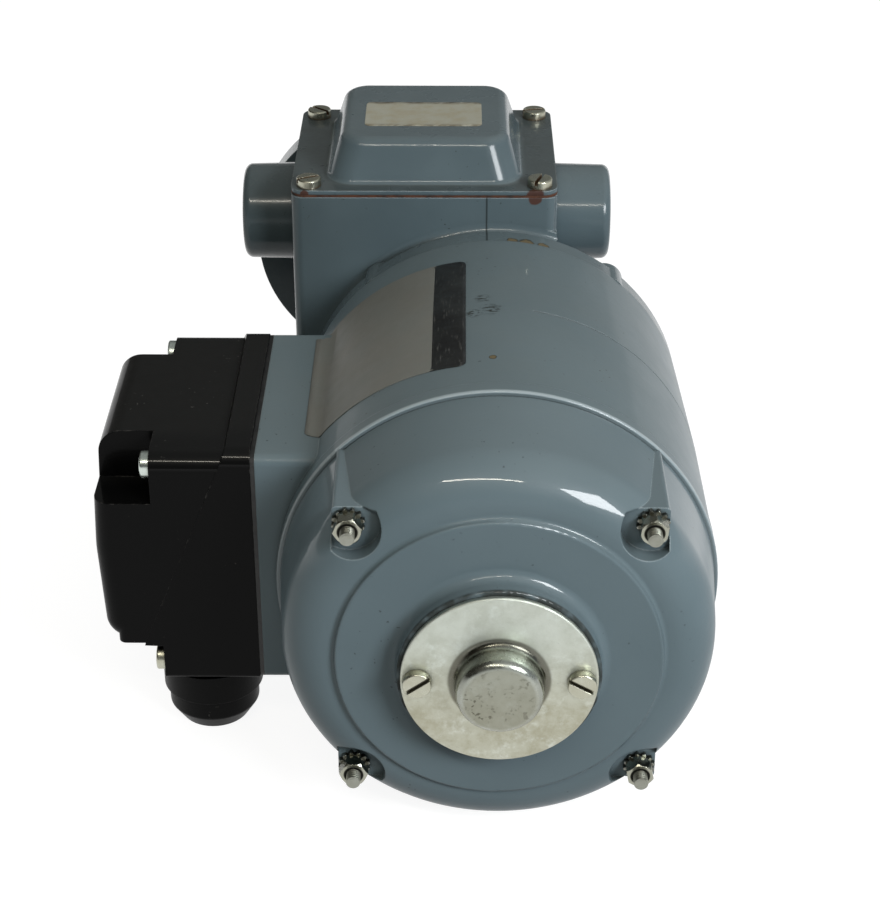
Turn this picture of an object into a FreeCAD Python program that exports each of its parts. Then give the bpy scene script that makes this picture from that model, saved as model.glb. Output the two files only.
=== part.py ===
import FreeCAD, Part
import math
import os

# Gear motor: a three phase motor with a spur and worm gearbox and a hollow output shaft.
# Millimetres. The model is laid out on the motor axis: +Y runs from the rear bearing cap to
# the gearbox, +Z is up, y = 0 is the cap's outer face. The saved parts have their origin in
# the middle of the output bore instead.

V = FreeCAD.Vector

# Clearances
slip = 0.05              # screws, keys and other parts put in by hand
loose = 0.15             # holes that screws and rods pass through
running = 0.04           # shaft in a plain bush
seal_gap = 0.06          # lip of a seal to its shaft
shield_gap = 0.15        # bearing shield to the inner ring
air_gap = 0.3            # rotor to stator
end_play = 0.1           # axial play of turning parts
break_edge = 0.5         # small rounding of turned and moulded edges

# Rear end shield and bearing cap
cap_r = 22.45
cap_thick = 1.5
cup_r = 9.9
cup_len = 7.0
cup_wall = 1.2
cup_flare = 1.6
cap_screw_r = 18.6
hub_r = 23.3
hub_len = 5.6
disc_r = 37.7
disc_step = 1.6
disc_root = 1.1          # fillet where the disc meets the shoulder
shoulder_r = 11.0
dome_r = 49.7            # shield's wall where it leaves the shoulder
rim_r = 52.3             # shield's wall at the joint
shield_len = 37.5
shield_roof = 9.0
shield_bore_r = 41.5
shield_inner_corner = 6.0
hub_fillet = 2.4
spigot_len = 3.0
cup_edge = 2.2

# Tie rods
rod_r = 1.7
rod_offset = 34.0
rod_stand_out = 3.2
rod_pocket_r = 7.5
rod_seat_y = 13.5
rod_pad = 3.8
pad_corner = 1.0
pad_root = 1.0           # a pad ends this far outside the shield's bore
rod_end = 1.0            # metal beyond the end of a rod
nut_flats = 6.0
nut_thick = 3.6
washer_thick = 1.2
washer_r = 3.8
washer_teeth = 12
washer_root = 0.8        # root of the teeth as a share of the outside

# Stator housing
mouth_r = 53.3           # rim around the shield's joint
mouth_len = 4.5
body_r = 53.1            # the cast wall has draft on both sides of its seam
seam_r = 52.9
far_r = 51.5
bore_r = 45.0
housing_len = 87.0
seam_width = 0.5
seam_depth = 0.2
seam_from = 9.0          # the line runs down the right side from here
pedestal_x = 58.0
pedestal_len = 66.0
pedestal_half = 31.2
pedestal_low = 33.4      # below the motor axis
pedestal_start = 7.0
pedestal_corner = 2.4
window_len = 24.0
window_high = 8.0
window_z = 21.0

# Windings and rotor
stack_len = 40.0
stack_start = 19.0
slot_count = 24
slot_depth = 10.5
slot_width = 3.6
slot_mouth = 1.6
slot_corner = 0.9
slot_flare = 0.118       # half widening of a slot along its depth
stator_bore_r = 26.0
coil_len = 15.0
coil_step = 1.0          # coil heads stand off the stack
coil_corner = 3.5
coil_gap = 0.2
coil_in_r = 28.5
coil_out_r = 42.5
bar_count = 18
bar_r = 1.7
bar_inset = 2.6
ring_len = 6.0
ring_step = 0.6
ring_in_r = 15.0
core_seat_r = 8.0
collar_r = 7.3
shaft_tail_r = 4.0
shaft_tail = 5.0
seal_seat_r = 5.25
shaft_seal_r = 9.0
shaft_seal_len = 4.0
seal_lip = 1.5

# Ball bearings: bore radius, outer radius, width
motor_bearing = (6.0, 16.0, 10.0)
near_bearing = (2.5, 8.0, 5.0)
far_bearing = (5.0, 13.0, 8.0)
bearing_ring = 0.22      # share of the section taken by each ring
bearing_shield = 0.12    # shield as a share of the width
spring_space = 2.0
spring_crests = 3
spring_strip = 1.8
spring_thick = 0.44
hub_wall = 4.5
lip = 2.0                # shoulder that a bearing's outer ring sits against
recess = 0.5             # bearing or cover below the face it is let into

# Gear train
pressure = math.radians(20)
dedendum = 1.25
spur_module = 0.7
pinion_teeth = 12
gear_teeth = 48
pinion_shift = 0.3
spur_thin = 0.09
spur_width = 8.0
pinion_extra = 0.7
gear_side = 1.0          # gear to the wall beside it
worm_side = 18.75
worm_module = 1.2
worm_r = 9.0
worm_len = 27.0
worm_run_out = 2.0
worm_sink = 0.4          # thread carried into the core
worm_thin = 0.16
wheel_teeth = 40
wheel_width = 12.0
wheel_over = 0.4
wheel_hub_r = 12.5
wheel_hub_half = 12.0
wheel_web = 4.0
wheel_rim = 4.0
gear_seat_r = 4.0
worm_neck_r = 5.8
gear_hub_r = 8.0
gear_hub_len = 4.0
key_width = 3.0
key_high = 3.0
key_end = 2.0            # keyway past the end of its key

# Output shaft
out_bore_r = 6.0
sleeve_r = 8.5
bore_key_width = 4.0
bore_key_deep = 1.8
bush_r = 10.5
bush_flange_r = 12.8
bush_flange = 1.5
seal_len = 3.0
end_recess = 0.6
clip_thick = 1.0
clip_deep = 0.7
clip_high = 1.6
clip_gap = 5.0
spacer_r = 10.4

# Gear housing
neck_len = 10.0
neck_r = 49.0
neck_fillet = 3.0
neck_web = 6.5
neck_seal = 1.0          # wall between the drive bearing and the shaft seal
collar_rim_r = 51.3
lug_r = 5.2
lug_circle = 46.5
lug_angle = 50.0
lug_end = 1.0            # lugs short of the box
spigot_wall = 4.0
box_half = 35.8
box_len = 64.0
box_below = 27.5         # worm axis to the underside
box_wall = 3.6
box_corner = 3.0
room_corner = 2.0
out_back = 2.0           # output axis from the middle of the box
boss_r = 13.6
boss_draft = 0.4
boss_edge = 2.2
boss_cover = 3.3         # boss to the top joint
boss_left = 15.1
boss_right = 15.8
gear_room = 1.6
flange_r = 40.5
flange_thick = 9.0
flange_side = 10.75      # flange centre left of the worm axis
flange_up = 8.3          # flange centre above the worm axis
flange_hole_r = 2.5
flange_hole_deep = 7.5
flange_pcd = 66.0
end_cover_r = 18.8
end_cover_thick = 3.0
end_screw_r = 1.4
end_screw_circle = 16.0
end_screw_len = 6.0
end_head_r = 2.7

# Top cover
joint_thick = 0.7
plate_thick = 1.2
cover_len = 60.0
side_inset = 4.8
front_inset = 3.9
back_inset = 5.4
cover_corner = 4.0
dome_base_half = 26.0
dome_top_half = 22.5
dome_base_len = 52.0
dome_top_len = 42.0
dome_corner = 7.0
dome_edge = 3.2
dome_foot = 2.0
dome_wall = 2.6
wheel_room = 1.9
post_r = 5.0
post_deep = 15.0

# Slotted cheese head screws
screw_r = 1.95
head_r = 3.3
head_high = 2.3
slot_cut = 1.0
slot_deep = 1.2
cap_screw_len = 7.0
cover_screw_len = 14.0

# Terminal box
box_joint = 1.0
base_top = 6.0           # depth of the base at its upper edge
base_rise = 1.2          # base above the cover and the pedestal
base_low = 28.6          # depth of the base at its lower edge
base_low_z = -23.3
ledge_depth = 24.0
ledge_z = -23.5
lid_x = 38.0             # outer face of the cover from the joint
lid_edge = 6.0
lid_crown = 1.2
lid_wall = 2.6
lid_low_z = -22.5
lid_lip = 6.5            # square part of the cover's lower side, next to the joint
lid_lip_edge = 2.0
lid_side_edge = 4.5
lid_crown_r = 40.0
base_top_edge = 4.5
base_low_edge = 1.2
notch = 13.0
notch_floor = 24.4
board_thick = 3.0
board_len = 44.0
board_high = 28.0
board_z = -3.0
board_shift = 6.0        # board off the middle, away from the cable
rail_high = 2.4
rail_width = 4.0
board_corner = 2.0
stud_count = 3
stud_pitch = 13.0
stud_r = 1.9
stud_len = 12.0
stud_row = 9.0
stud_nut_flats = 7.0
link_thick = 0.8
link_width = 6.0
terminal_screw_z = 27.0
terminal_screw_low = 29.4
terminal_screw_y = 28.9
terminal_screw_bite = 8.0
post_half = 4.2          # metal or plastic round a terminal box screw

# Cable gland
gland_x = 14.0           # from the base's back
gland_y = 17.0           # in front of the middle of the box
gland_r = 11.6
gland_thread_r = 8.0
gland_collar = 2.5
gland_step = 0.8
gland_edge = 1.2
gland_grip_r = 12.8
gland_grip = 10.7        # end of the nut's grip below the base
gland_groove = 0.7
gland_nut_len = 16.3
gland_cone = 4.4
gland_mouth_r = 8.8
cable_r = 4.0
seal_wall = 2.0
seal_high = 10.0
seal_out = 2.0           # seal past the end of the gland's thread
gland_floor = 1.5        # nut's inner shoulder above the start of its cone
gland_inside = 3.0       # thread inside the box

# Stations along the motor axis
hub_y = cap_thick
disc_y = hub_y + hub_len
step_y = disc_y + disc_step
rim_y = hub_y + shield_len
neck_y = rim_y + housing_len
box_y = neck_y + neck_len
flange_y = box_y + box_len
face_y = flange_y + flange_thick
stack_y = rim_y + stack_start
stack_end_y = stack_y + stack_len
rear_bearing_y = hub_y + spring_space
drive_bearing_y = neck_y - lip - motor_bearing[2]
seal_y = neck_y + neck_seal
web_y = neck_y + neck_web
near_bearing_y = web_y - near_bearing[2] - recess
gear_y = web_y + gear_side
far_bearing_y = face_y - end_cover_thick - recess - far_bearing[2]

# Gear centres
spur_centre = spur_module * (pinion_teeth + gear_teeth) / 2
worm_x = -worm_side
worm_z = math.sqrt(spur_centre ** 2 - worm_side ** 2)
wheel_r = worm_module * wheel_teeth / 2
worm_lead = math.pi * worm_module
worm_root_r = worm_r - dedendum * worm_module
worm_tip_r = worm_r + worm_module
out_z = worm_z + worm_r + wheel_r
wheel_tip_r = wheel_r + worm_module
out_y = box_y + box_len / 2 - out_back

# Gear housing levels
top_z = out_z + boss_r + boss_cover
bottom_z = worm_z - box_below
cover_z = top_z + joint_thick
plate_z = cover_z + plate_thick
dome_z = out_z + wheel_tip_r + wheel_over + wheel_room + dome_wall
left_end = worm_x - box_half - boss_left
right_end = worm_x + box_half + boss_right
flange_x = worm_x - flange_side
flange_z = worm_z + flange_up

# Terminal box levels, measured outwards on the left side
pedestal_y = rim_y + pedestal_start
terminal_y = pedestal_y + pedestal_len / 2
base_x = -pedestal_x - box_joint
board_y = terminal_y + board_shift

row_origin = V(worm_x, out_y, out_z)
rod_places = [(sx * rod_offset, sz * rod_offset) for sz in (1, -1) for sx in (-1, 1)]


def save(name, *solids):
    shape = solids[0] if len(solids) == 1 else Part.makeCompound(list(solids))
    shape = shape.copy()
    shape.translate(row_origin.negative())
    shape.exportStep("parts/" + name + ".step")


# Shape helpers
def rod(radius, start, end, x=0.0, z=0.0):
    return Part.makeCylinder(radius, end - start, V(x, start, z), V(0, 1, 0))


def ring(outer, inner, start, end, x=0.0, z=0.0):
    return rod(outer, start, end, x, z).cut(rod(inner, start, end, x, z))


def rod_x(radius, start, end, y, z):
    return Part.makeCylinder(radius, end - start, V(start, y, z), V(1, 0, 0))


def rod_z(radius, start, end, x, y):
    return Part.makeCylinder(radius, end - start, V(x, y, start), V(0, 0, 1))


def block(x0, x1, y0, y1, z0, z1):
    return Part.makeBox(x1 - x0, y1 - y0, z1 - z0, V(x0, y0, z0))


def fuse(first, *others):
    return first.multiFuse(list(others)).removeSplitter()


def rounded(corners, place):
    """Closed wire through (u, v) or (u, v, radius) corners, laid out in space by place(u, v)."""
    flat = [V(c[0], c[1], 0) for c in corners]
    radii = [c[2] if len(c) > 2 else 0.0 for c in corners]
    edges = []
    ends = []
    for i, here in enumerate(flat):
        back = (flat[i - 1] - here).normalize()
        ahead = (flat[(i + 1) % len(flat)] - here).normalize()
        if not radii[i]:
            ends.append((here, here))
            continue
        half = back.getAngle(ahead) / 2
        reach = radii[i] / math.tan(half)
        middle = (back + ahead).normalize() * (radii[i] / math.sin(half) - radii[i])
        ends.append((here + back * reach, here + ahead * reach))
        points = [place(p.x, p.y) for p in (ends[i][0], here + middle, ends[i][1])]
        edges.append(Part.Arc(*points).toShape())
    for i in range(len(flat)):
        start, end = ends[i][1], ends[(i + 1) % len(flat)][0]
        if (end - start).Length > 1e-6:
            edges.append(Part.makeLine(place(start.x, start.y), place(end.x, end.y)))
    return Part.Wire(Part.__sortEdges__(edges))


def turned(corners, x=0.0, z=0.0):
    """Solid of revolution about a line along Y from an outline of (radius, y) corners."""
    face = Part.Face(rounded(corners, lambda r, y: V(x + r, y, z)))
    return face.revolve(V(x, 0, z), V(0, 1, 0), 360)


def turned_x(corners, y, z):
    """Solid of revolution about a line along X from an outline of (radius, x) corners."""
    face = Part.Face(rounded(corners, lambda r, x: V(x, y, z + r)))
    return face.revolve(V(0, y, z), V(1, 0, 0), 360)


def turned_z(corners, x, y):
    """Solid of revolution about a line along Z from an outline of (radius, z) corners."""
    face = Part.Face(rounded(corners, lambda r, z: V(x + r, y, z)))
    return face.revolve(V(x, y, 0), V(0, 0, 1), 360)


def plan(x0, x1, y0, y1, radius, z):
    corners = [(x0, y0, radius), (x1, y0, radius), (x1, y1, radius), (x0, y1, radius)]
    return rounded(corners, lambda x, y: V(x, y, z))


def slab(x0, x1, y0, y1, radius, z0, z1):
    return Part.Face(plan(x0, x1, y0, y1, radius, z0)).extrude(V(0, 0, z1 - z0))


def side_prism(corners, y0, y1):
    """Prism along Y of an outline of (x, z) corners."""
    face = Part.Face(rounded(corners, lambda x, z: V(x, y0, z)))
    return face.extrude(V(0, y1 - y0, 0))


# Fasteners
def cheese_screw(length, turn=0.0):
    """Slotted screw along Z: the head's underside is at z = 0 and the shank points down."""
    head = Part.makeCylinder(head_r, head_high)
    rim = [edge for edge in head.Edges if edge.BoundBox.ZMin > head_high / 2 and len(edge.Vertexes) == 1]
    head = head.makeFillet(head_high / 5, rim)
    slot = block(-head_r, head_r, -slot_cut / 2, slot_cut / 2, head_high - slot_deep, head_high)
    screw = head.cut(slot).fuse(Part.makeCylinder(screw_r, length, V(0, 0, -length)))
    screw.rotate(V(0, 0, 0), V(0, 0, 1), turn)
    return screw.removeSplitter()


def placed(shape, where, axis, angle):
    copy = shape.copy()
    copy.rotate(V(0, 0, 0), axis, angle)
    copy.translate(where)
    return copy


def facing_rear(shape, x, y, z):
    return placed(shape, V(x, y, z), V(1, 0, 0), 90)


def facing_left(shape, x, y, z):
    return placed(shape, V(x, y, z), V(0, 1, 0), -90)


def hex_nut(bore, flats, thick):
    """Hexagon nut from z = 0 up, with its corners turned off on the upper side."""
    corner = flats / math.sqrt(3)
    points = [V(corner * math.cos(a * math.pi / 3), corner * math.sin(a * math.pi / 3), 0) for a in range(7)]
    nut = Part.Face(Part.makePolygon(points)).extrude(V(0, 0, thick))
    cone = Part.makeCone(corner + thick, flats / 2, thick + corner - flats / 2)
    cone.translate(V(0, 0, thick - cone.BoundBox.ZLength))
    return nut.common(cone).cut(Part.makeCylinder(bore, thick))


def tooth_washer():
    """External tooth lock washer from z = 0 up."""
    points = []
    for i in range(4 * washer_teeth + 1):
        radius = washer_r if i % 4 in (1, 2) else washer_r * washer_root
        angle = 2 * math.pi * i / (4 * washer_teeth)
        points.append(V(radius * math.cos(angle), radius * math.sin(angle), 0))
    star = Part.Face(Part.makePolygon(points)).extrude(V(0, 0, washer_thick))
    return star.cut(Part.makeCylinder(rod_r + slip, washer_thick))


def bearing(sizes, start, x=0.0, z=0.0):
    """Shielded ball bearing as its outer ring with shields and its inner ring."""
    bore, outer, width = sizes
    wall = (outer - bore) * bearing_ring
    inner_r = bore + wall
    cover = width * bearing_shield
    end = start + width
    reach = inner_r + shield_gap
    race = outer - wall
    section = [(outer, start), (outer, end), (reach, end), (reach, end - cover), (race, end - cover),
               (race, start + cover), (reach, start + cover), (reach, start)]
    return turned(section, x, z), ring(inner_r, bore, start, end, x, z)


# Gear teeth
def tooth_points(module, teeth, shift, tip_r, thin, first):
    """Corners of an involute gear as (radius, angle), with one tooth centred on the angle first."""
    pitch_r = module * teeth / 2
    base_r = pitch_r * math.cos(pressure)
    root_r = pitch_r - module * (dedendum - shift)
    half = (math.pi / 2 + 2 * shift * math.tan(pressure)) / teeth - thin / (2 * pitch_r)
    involute = math.tan(pressure) - pressure

    def half_angle(radius):
        roll = math.acos(min(1.0, base_r / radius))
        return half + involute - (math.tan(roll) - roll)

    start_r = max(base_r, root_r + 0.02 * module)
    radii = [root_r, start_r, (start_r + tip_r) / 2, tip_r]
    corners = []
    for i in range(teeth):
        centre = first + 2 * math.pi * i / teeth
        corners += [(r, centre - half_angle(r)) for r in radii]
        corners += [(r, centre + half_angle(r)) for r in reversed(radii)]
    return corners


def spur_teeth(module, teeth, shift, thin, first, y0, y1, x=0.0, z=0.0):
    tip_r = module * (teeth / 2 + 1 + shift)
    corners = tooth_points(module, teeth, shift, tip_r, thin, first)
    points = [V(x + r * math.cos(a), y0, z + r * math.sin(a)) for r, a in corners]
    return Part.Face(Part.makePolygon(points + points[:1])).extrude(V(0, y1 - y0, 0))


# Motor
def rear_end_shield():
    roof_y = step_y + shield_roof
    casting = turned([
        (0, hub_y), (hub_r, hub_y, break_edge), (hub_r, disc_y, hub_fillet), (disc_r, disc_y, break_edge),
        (disc_r, step_y, disc_root), (dome_r, step_y, shoulder_r), (rim_r, rim_y, break_edge),
        (bore_r - slip, rim_y), (bore_r - slip, rim_y + spigot_len, break_edge),
        (shield_bore_r, rim_y + spigot_len),
        (shield_bore_r, roof_y, shield_inner_corner), (0, roof_y)])
    bore, outer, width = motor_bearing
    reach = rod_offset + rod_pad
    core = rod_offset - rod_pad
    for x, z in rod_places:
        sx, sz = math.copysign(1, x), math.copysign(1, z)
        xs, zs = sorted((sx * core, sx * reach)), sorted((sz * core, sz * reach))
        pad = block(xs[0], xs[1], rod_seat_y, rim_y, zs[0], zs[1])
        pad = pad.makeFillet(pad_corner, [edge for edge in pad.Edges if edge.BoundBox.YLength > 1])
        casting = casting.fuse(pad.cut(rod(shield_bore_r + pad_root, rod_seat_y, rim_y)))
    square = block(-reach, reach, 0, rod_seat_y, -reach, reach)
    for x, z in rod_places:
        casting = casting.cut(rod(rod_pocket_r, 0, rod_seat_y, x, z).common(square))
        casting = casting.cut(rod(rod_r + loose, 0, rim_y + spigot_len, x, z))
    casting = casting.cut(rod(outer, hub_y, rear_bearing_y + width))
    casting = casting.cut(rod(outer - lip, hub_y, roof_y))
    for side in (-1, 1):
        hole = rod(screw_r + slip, hub_y, hub_y + cap_screw_len, side * cap_screw_r)
        casting = casting.cut(hole)
    return casting.removeSplitter()


def bearing_cap():
    inner = cup_r - cup_wall
    cap = turned([
        (cap_r, 0, break_edge), (cap_r, cap_thick, break_edge), (inner, cap_thick),
        (inner, cup_wall - cup_len), (0, cup_wall - cup_len), (0, -cup_len), (cup_r, -cup_len, cup_edge),
        (cup_r, 0, cup_flare)])
    for side in (-1, 1):
        cap = cap.cut(rod(screw_r + loose, 0, cap_thick, side * cap_screw_r))
    return cap


def cap_screws():
    screw_len = cap_screw_len - recess + cap_thick
    return [facing_rear(cheese_screw(screw_len, turn), side * cap_screw_r, 0, 0)
            for side, turn in ((-1, 36), (1, -30))]


def wave_spring():
    steps = 12 * spring_crests
    mid_r = motor_bearing[1] - slip - spring_strip / 2
    swing = (spring_space - spring_thick) / 2 - slip
    points = []
    for i in range(steps):
        angle = 2 * math.pi * i / steps
        height = hub_y + spring_space / 2 + swing * math.cos(spring_crests * angle)
        points.append(V(mid_r * math.cos(angle), height, mid_r * math.sin(angle)))
    path = Part.BSplineCurve()
    path.interpolate(points, PeriodicFlag=True)
    start = points[0]
    wide, high = spring_strip / 2, spring_thick / 2
    corners = [(-wide, -high), (wide, -high), (wide, high), (-wide, high)]
    section = rounded(corners, lambda r, y: V(start.x + r, start.y + y, start.z))
    sweep = Part.BRepOffsetAPI.MakePipeShell(Part.Wire(path.toShape()))
    sweep.setBiNormalMode(V(0, 1, 0))
    sweep.add(section)
    sweep.build()
    sweep.makeSolid()
    return sweep.shape()


def tie_rods():
    start = rod_seat_y - washer_thick - nut_thick - rod_stand_out
    end = web_y - rod_end
    return [turned([(0, start), (rod_r, start, break_edge), (rod_r, end), (0, end)], x, z)
            for x, z in rod_places]


def tie_rod_nuts():
    nut = hex_nut(rod_r + slip, nut_flats, nut_thick)
    turns = (8, 22, 0, 41)
    return [facing_rear(placed(nut, V(0, 0, 0), V(0, 0, 1), turn), x, rod_seat_y - washer_thick, z)
            for (x, z), turn in zip(rod_places, turns)]


def tooth_lock_washers():
    washer = tooth_washer()
    return [facing_rear(washer, x, rod_seat_y, z) for x, z in rod_places]


def stator_housing():
    mouth_y, seam_y = rim_y + mouth_len, (rim_y + neck_y) / 2
    tube = turned([(0, rim_y), (mouth_r, rim_y, break_edge), (mouth_r, mouth_y), (body_r, mouth_y),
                   (seam_r, seam_y), (far_r, neck_y), (0, neck_y)])
    left = -pedestal_x
    y0, y1 = pedestal_y, pedestal_y + pedestal_len
    foot = block(left, 0, y0, y1, -pedestal_low, pedestal_half)
    edges = [edge for edge in foot.Edges if edge.BoundBox.XLength > 1]
    foot = foot.makeFillet(pedestal_corner, edges)
    groove = ring(body_r, seam_r - seam_depth, seam_y, seam_y + seam_width)
    right = block(seam_from, body_r, rim_y, neck_y, -body_r / 2, body_r)
    housing = tube.cut(groove.common(right)).fuse(foot).cut(rod(bore_r, rim_y, neck_y))
    for x, z in rod_places:
        housing = housing.cut(rod(rod_r + loose, rim_y, neck_y, x, z))
    housing = housing.cut(terminal_window(left, -bore_r / 2))
    for y, z in terminal_screws():
        housing = housing.cut(rod_x(screw_r + slip, left, left + terminal_screw_bite + recess, y, z))
    return housing.removeSplitter()


def slot_wire(grow, y):
    """Outline of one winding slot in the stator, on the +X axis, shrunk by -grow."""
    mouth = slot_mouth / 2 + grow
    half = slot_width / 2 + grow
    deep = stator_bore_r + slot_depth + grow
    neck = stator_bore_r + slot_mouth - grow
    wide = half + slot_depth * slot_flare
    inside = stator_bore_r - slot_mouth
    corners = [(inside, -mouth), (neck - slot_mouth / 2, -mouth), (neck, -half), (deep, -wide, slot_corner),
               (deep, wide, slot_corner), (neck, half), (neck - slot_mouth / 2, mouth), (inside, mouth)]
    if grow < 0:
        corners = corners[2:6]
    return rounded(corners, lambda u, v: V(u, y, v))


def around(shape, count):
    copies = []
    for i in range(count):
        copy = shape.copy()
        copy.rotate(V(0, 0, 0), V(0, 1, 0), 360.0 * i / count)
        copies.append(copy)
    return copies


def stator_core():
    sheet = ring(bore_r, stator_bore_r, stack_y, stack_end_y)
    slot = Part.Face(slot_wire(0.0, stack_y)).extrude(V(0, stack_len, 0))
    return sheet.cut(Part.makeCompound(around(slot, slot_count)))


def stator_winding():
    reach = 2 * coil_step
    side = Part.Face(slot_wire(-coil_gap, stack_y - reach)).extrude(V(0, stack_len + 2 * reach, 0))
    heads = []
    spans = ((stack_y - coil_len, stack_y - coil_step), (stack_end_y + coil_step, stack_end_y + coil_len))
    for start, end in spans:
        corners = [(coil_in_r, start), (coil_out_r, start), (coil_out_r, end), (coil_in_r, end)]
        heads.append(turned([(r, y, coil_corner) for r, y in corners]))
    return heads[0].multiFuse(heads[1:] + around(side, slot_count))


def rotor_core():
    outer = stator_bore_r - air_gap
    core = ring(outer, core_seat_r, stack_y, stack_end_y)
    bar = rod(bar_r, stack_y, stack_end_y, outer - bar_inset)
    return core.cut(Part.makeCompound(around(bar, bar_count)))


def rotor_cage():
    outer = stator_bore_r - air_gap
    bar = rod(bar_r, stack_y - 1, stack_end_y + 1, outer - bar_inset)
    rings = [ring(outer - ring_step, ring_in_r, stack_y - ring_len, stack_y),
             ring(outer - ring_step, ring_in_r, stack_end_y, stack_end_y + ring_len)]
    return rings[0].multiFuse(rings[1:] + around(bar, bar_count)).removeSplitter()


def mesh_angle():
    return math.atan2(worm_z, worm_x)


def rotor_shaft():
    journal, outer, width = motor_bearing
    rear_end = rear_bearing_y + width
    tail_y = rear_bearing_y - shaft_tail
    pinion_y = gear_y - pinion_extra
    pinion_end = gear_y + spur_width + pinion_extra
    shaft = turned([
        (0, tail_y), (shaft_tail_r, tail_y, break_edge), (shaft_tail_r, rear_bearing_y - recess),
        (journal, rear_bearing_y - recess), (journal, rear_end), (collar_r, rear_end),
        (collar_r, stack_y - ring_len), (core_seat_r, stack_y - ring_len), (core_seat_r, stack_end_y),
        (collar_r, stack_end_y), (collar_r, drive_bearing_y), (journal, drive_bearing_y),
        (journal, drive_bearing_y + width), (seal_seat_r, drive_bearing_y + width),
        (seal_seat_r, pinion_y), (0, pinion_y)])
    teeth = spur_teeth(spur_module, pinion_teeth, pinion_shift, spur_thin, mesh_angle(), pinion_y, pinion_end)
    return shaft.fuse(teeth)


def shaft_seal():
    lip_r = seal_seat_r + seal_gap
    end = seal_y + shaft_seal_len
    return turned([(shaft_seal_r, seal_y), (shaft_seal_r, end), (lip_r, end), (lip_r, seal_y + seal_lip),
                   (lip_r + seal_lip, seal_y)])


# Gearbox
def boss(side):
    """One side boss, turned from the middle of the box outwards."""
    end = left_end if side < 0 else right_end
    wall = worm_x + side * box_half
    tip_r = boss_r - boss_draft
    return turned_x([(0, worm_x), (boss_r, worm_x), (boss_r, wall), (tip_r, end, boss_edge), (0, end)],
                    out_y, out_z)


def gear_chamber():
    """Inside of the gearbox, with solid corners left for the cover screws."""
    x0, x1 = worm_x - box_half + box_wall, worm_x + box_half - box_wall
    y0, y1 = box_y + box_wall, box_y + cover_len - box_wall
    room = slab(x0, x1, y0, y1, room_corner, bottom_z + box_wall, top_z)
    for x, y in cover_screw_places():
        room = room.cut(rod_z(post_r, top_z - post_deep, top_z, x, y))
    gear_tip = spur_module * (gear_teeth / 2 + 1 - pinion_shift)
    pinion_tip = spur_module * (pinion_teeth / 2 + 1 + pinion_shift)
    gear_pocket = rod(gear_tip + gear_room, web_y, y0 + room_corner, worm_x, worm_z)
    pinion_pocket = rod(pinion_tip + gear_room, web_y, y0 + room_corner)
    return room.fuse(gear_pocket).fuse(pinion_pocket)


def cover_screw_places():
    x = box_half - side_inset
    y0, y1 = box_y + front_inset, box_y + cover_len - back_inset
    return [(worm_x + side * x, y) for y in (y0, y1) for side in (-1, 1)]


def flange_holes():
    reach = flange_pcd / 2
    return [(flange_x + reach, flange_z), (flange_x - reach, flange_z),
            (flange_x, flange_z + reach), (flange_x, flange_z - reach)]


def end_screw_places():
    angles = [math.radians(90 + 120 * i) for i in range(3)]
    reach = end_screw_circle
    return [(worm_x + reach * math.cos(a), worm_z + reach * math.sin(a)) for a in angles]


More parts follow.
